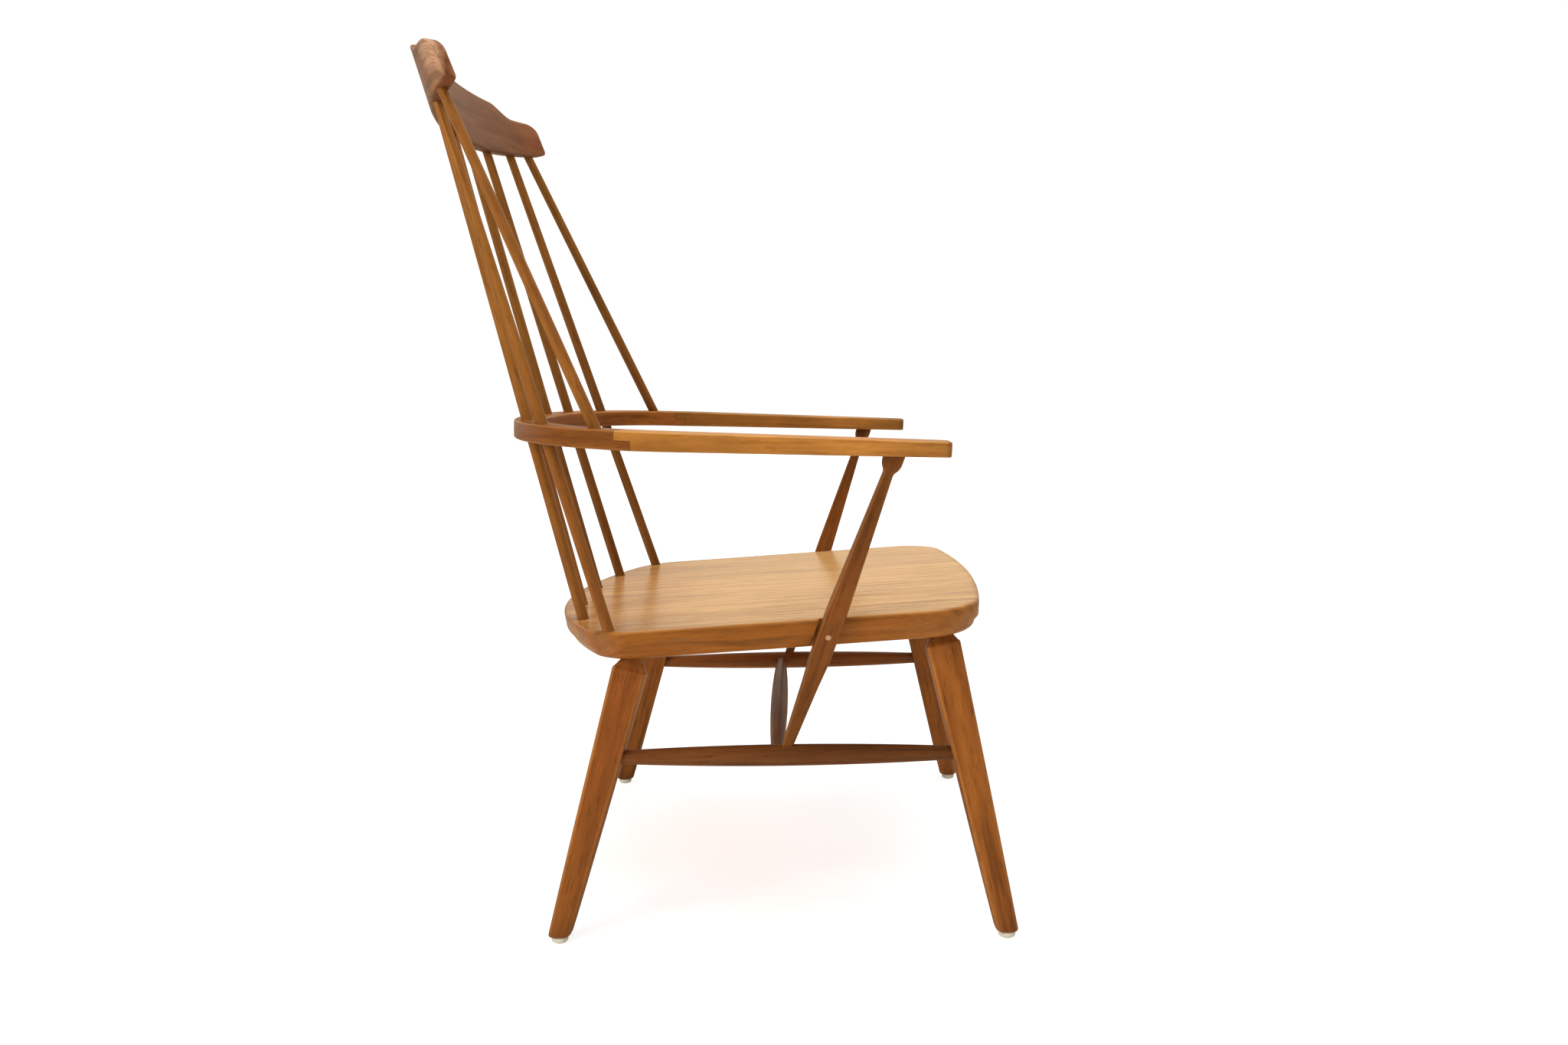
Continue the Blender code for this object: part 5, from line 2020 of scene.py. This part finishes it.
@dataclass
class Studio:
    """Pale floor, white surroundings, soft lamps and the camera."""

    camera_place: tuple[float, float, float] = (-1.52, -0.10387, 0.670)
    yaw: float = math.radians(-0.719)
    pitch: float = math.radians(7.756)
    roll: float = math.radians(-1.086)
    focal_pixels: float = 1470.0
    frame_pixels: float = 2048.0
    sensor: float = 36.0
    floor_white: float = 0.55
    floor_glow: float = 1.40
    floor_reach: float = 9.0
    light: float = 0.30
    backdrop: float = 1.1
    gloss_far: float = 0.72
    gloss_near: float = 0.08

    SKY = (1.0, 0.985, 0.96, 1.0)
    MIRRORED_SKY = (1.0, 0.89, 0.72, 1.0)
    FLOOR = (0.95, 0.94, 0.92, 1.0)
    SHADOW = (0.97, 0.60, 0.38, 1.0)
    MIRRORED_FLOOR = (0.60, 0.45, 0.30, 1.0)
    WHITE = (1.0, 1.0, 1.0, 1.0)
    LAMPS = (
        ("overhead", (-0.1, -0.2, 2.9), (0, 0, 0.4), 2.2, 84.0),
        ("key", (-1.9, 2.0, 1.7), (0, 0, 0.6), 1.4, 58.0),
        ("fill", (-2.6, -0.9, 1.3), (0, 0, 0.5), 1.8, 11.0),
    )

    def camera(self) -> None:
        """Place the camera as the photograph's was."""
        data = bpy.data.cameras.new("studio_camera")
        data.sensor_width = self.sensor
        data.sensor_fit = "HORIZONTAL"
        data.lens = self.sensor * self.focal_pixels / self.frame_pixels
        data.clip_start = 0.05
        data.clip_end = 60.0
        ahead = Vector((
            math.cos(self.yaw) * math.cos(self.pitch),
            -math.sin(self.yaw) * math.cos(self.pitch),
            -math.sin(self.pitch),
        ))
        level = Vector((-math.sin(self.yaw), -math.cos(self.yaw), 0.0))
        upright = level.cross(ahead)
        right = level * math.cos(self.roll) + upright * math.sin(self.roll)
        up = upright * math.cos(self.roll) - level * math.sin(self.roll)
        turn = Matrix((right, up, -ahead)).transposed().to_4x4()
        camera = bpy.data.objects.new("studio_camera", data)
        camera.matrix_world = Matrix.Translation(self.camera_place) @ turn
        bpy.context.scene.collection.objects.link(camera)
        bpy.context.scene.camera = camera

    def surroundings(self) -> None:
        """A white world that lights the chair softly and shows white behind it."""
        world = bpy.data.worlds.new("white_studio")
        world.use_nodes = True
        graph = Graph(world.node_tree)
        back = world.node_tree.nodes["Background"]
        path = graph.add("ShaderNodeLightPath").outputs
        seen = graph.value(path["Is Camera Ray"])
        mirrored = graph.value(path["Is Glossy Ray"])
        graph.feed(back.inputs["Color"], graph.mix(mirrored, self.SKY, self.MIRRORED_SKY))
        heading = graph.split(graph.add("ShaderNodeTexCoord").outputs["Generated"])
        away = heading[0].ramp(-0.2, 0.5)
        gloss = away * (self.gloss_far - self.gloss_near) + (self.gloss_near - self.light)
        strength = seen * (self.backdrop - self.light) + mirrored * gloss + self.light
        graph.feed(back.inputs["Strength"], strength)
        bpy.context.scene.world = world

    def floor_material(self) -> bpy.types.Material:
        """Build a pale finish that glows to the camera, most of all far from the chair, with a warm shadow
        painted under the chair.

        Returns:
            The material.
        """
        material, graph, shader = start_material("pale_floor")
        spot = graph.object_place()
        length = graph.add("ShaderNodeVectorMath", {"operation": "LENGTH"}, {0: spot})
        reached = graph.value(length.outputs["Value"])
        # Painted shadow: a warm patch under the chair, seen only by the camera.
        under = (reached + graph.noise(spot, 7.0, 3.0) * 0.3).ramp(0.50, 0.12)
        path = graph.add("ShaderNodeLightPath").outputs
        seen = graph.value(path["Is Camera Ray"])
        colour = graph.mix(under * seen, self.FLOOR, self.SHADOW)
        colour = graph.mix(path["Is Glossy Ray"], colour, self.MIRRORED_FLOOR)
        graph.feed(shader.inputs["Base Color"], colour)
        shader.inputs["Roughness"].default_value = 0.34
        shader.inputs["Specular IOR Level"].default_value = 0.35
        inputs = {"Color": self.WHITE, "Strength": self.floor_glow}
        glow = graph.add("ShaderNodeEmission", None, inputs)
        white = reached.ramp(0.9, 2.6) * (0.97 - self.floor_white) + self.floor_white
        inputs = {0: seen * white, 1: shader.outputs[0], 2: glow.outputs[0]}
        both = graph.add("ShaderNodeMixShader", None, inputs)
        graph.feed(material.node_tree.nodes["Material Output"].inputs[0], both.outputs[0])
        return material

    def floor(self) -> None:
        """A pale floor that stays white in the picture and keeps the chair's soft shadow, warmed by a shadow
        painted under the chair.
        """
        mesh = bpy.data.meshes.new("studio_floor")
        reach = self.floor_reach
        corners = [(-reach, -reach, 0), (reach, -reach, 0), (reach, reach, 0), (-reach, reach, 0)]
        mesh.from_pydata(corners, [], [(0, 1, 2, 3)])
        floor = bpy.data.objects.new("studio_floor", mesh)
        bpy.context.scene.collection.objects.link(floor)
        mesh.materials.append(self.floor_material())

    def lamp(
        self, name: str, place: Iterable[float], aim: Iterable[float], size: float, power: float
    ) -> None:
        """A soft square lamp.

        Args:
            name: Name of the lamp.
            place: Where it stands.
            aim: The point that it faces.
            size: Side of the square.
            power: Power in watts.
        """
        data = bpy.data.lights.new(name, "AREA")
        data.size = size
        data.energy = power
        lamp = bpy.data.objects.new(name, data)
        lamp.location = Vector(place)
        lamp.visible_glossy = False
        lamp.rotation_euler = (Vector(aim) - Vector(place)).to_track_quat("-Z", "Y").to_euler()
        bpy.context.scene.collection.objects.link(lamp)

    def build(self) -> None:
        """Set up the studio."""
        bpy.context.scene.view_settings.view_transform = "Standard"
        self.camera()
        self.surroundings()
        self.floor()
        for lamp in self.LAMPS:
            self.lamp(*lamp)


def main() -> None:
    """Build the chair's pieces in order, then the studio."""
    legs_at_origin = Legs(Seat(0.0), 0.0)
    low, high = (Vector(corner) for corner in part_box("glide_front_left"))
    shift = (low.y + high.y) / 2 - legs_at_origin.centre(End.FRONT, Side.LEFT, legs_at_origin.glide_height).y
    stick = TurnedStick()
    seat = Seat(shift)
    legs = Legs(seat, shift)
    rail = ArmRail(shift, BentBow())
    posts = ArmPosts(legs, rail, shift)
    seat.build([posts.notch(side) for side in Side])
    for part in (legs, Stretchers(stick), rail, posts, SpindleBack(stick), CrestRail(shift)):
        part.build()
        LOG.info("%s built", type(part).__name__)
    Studio().build()


if __name__ == "__main__":
    logging.basicConfig(level=logging.INFO)
    main()
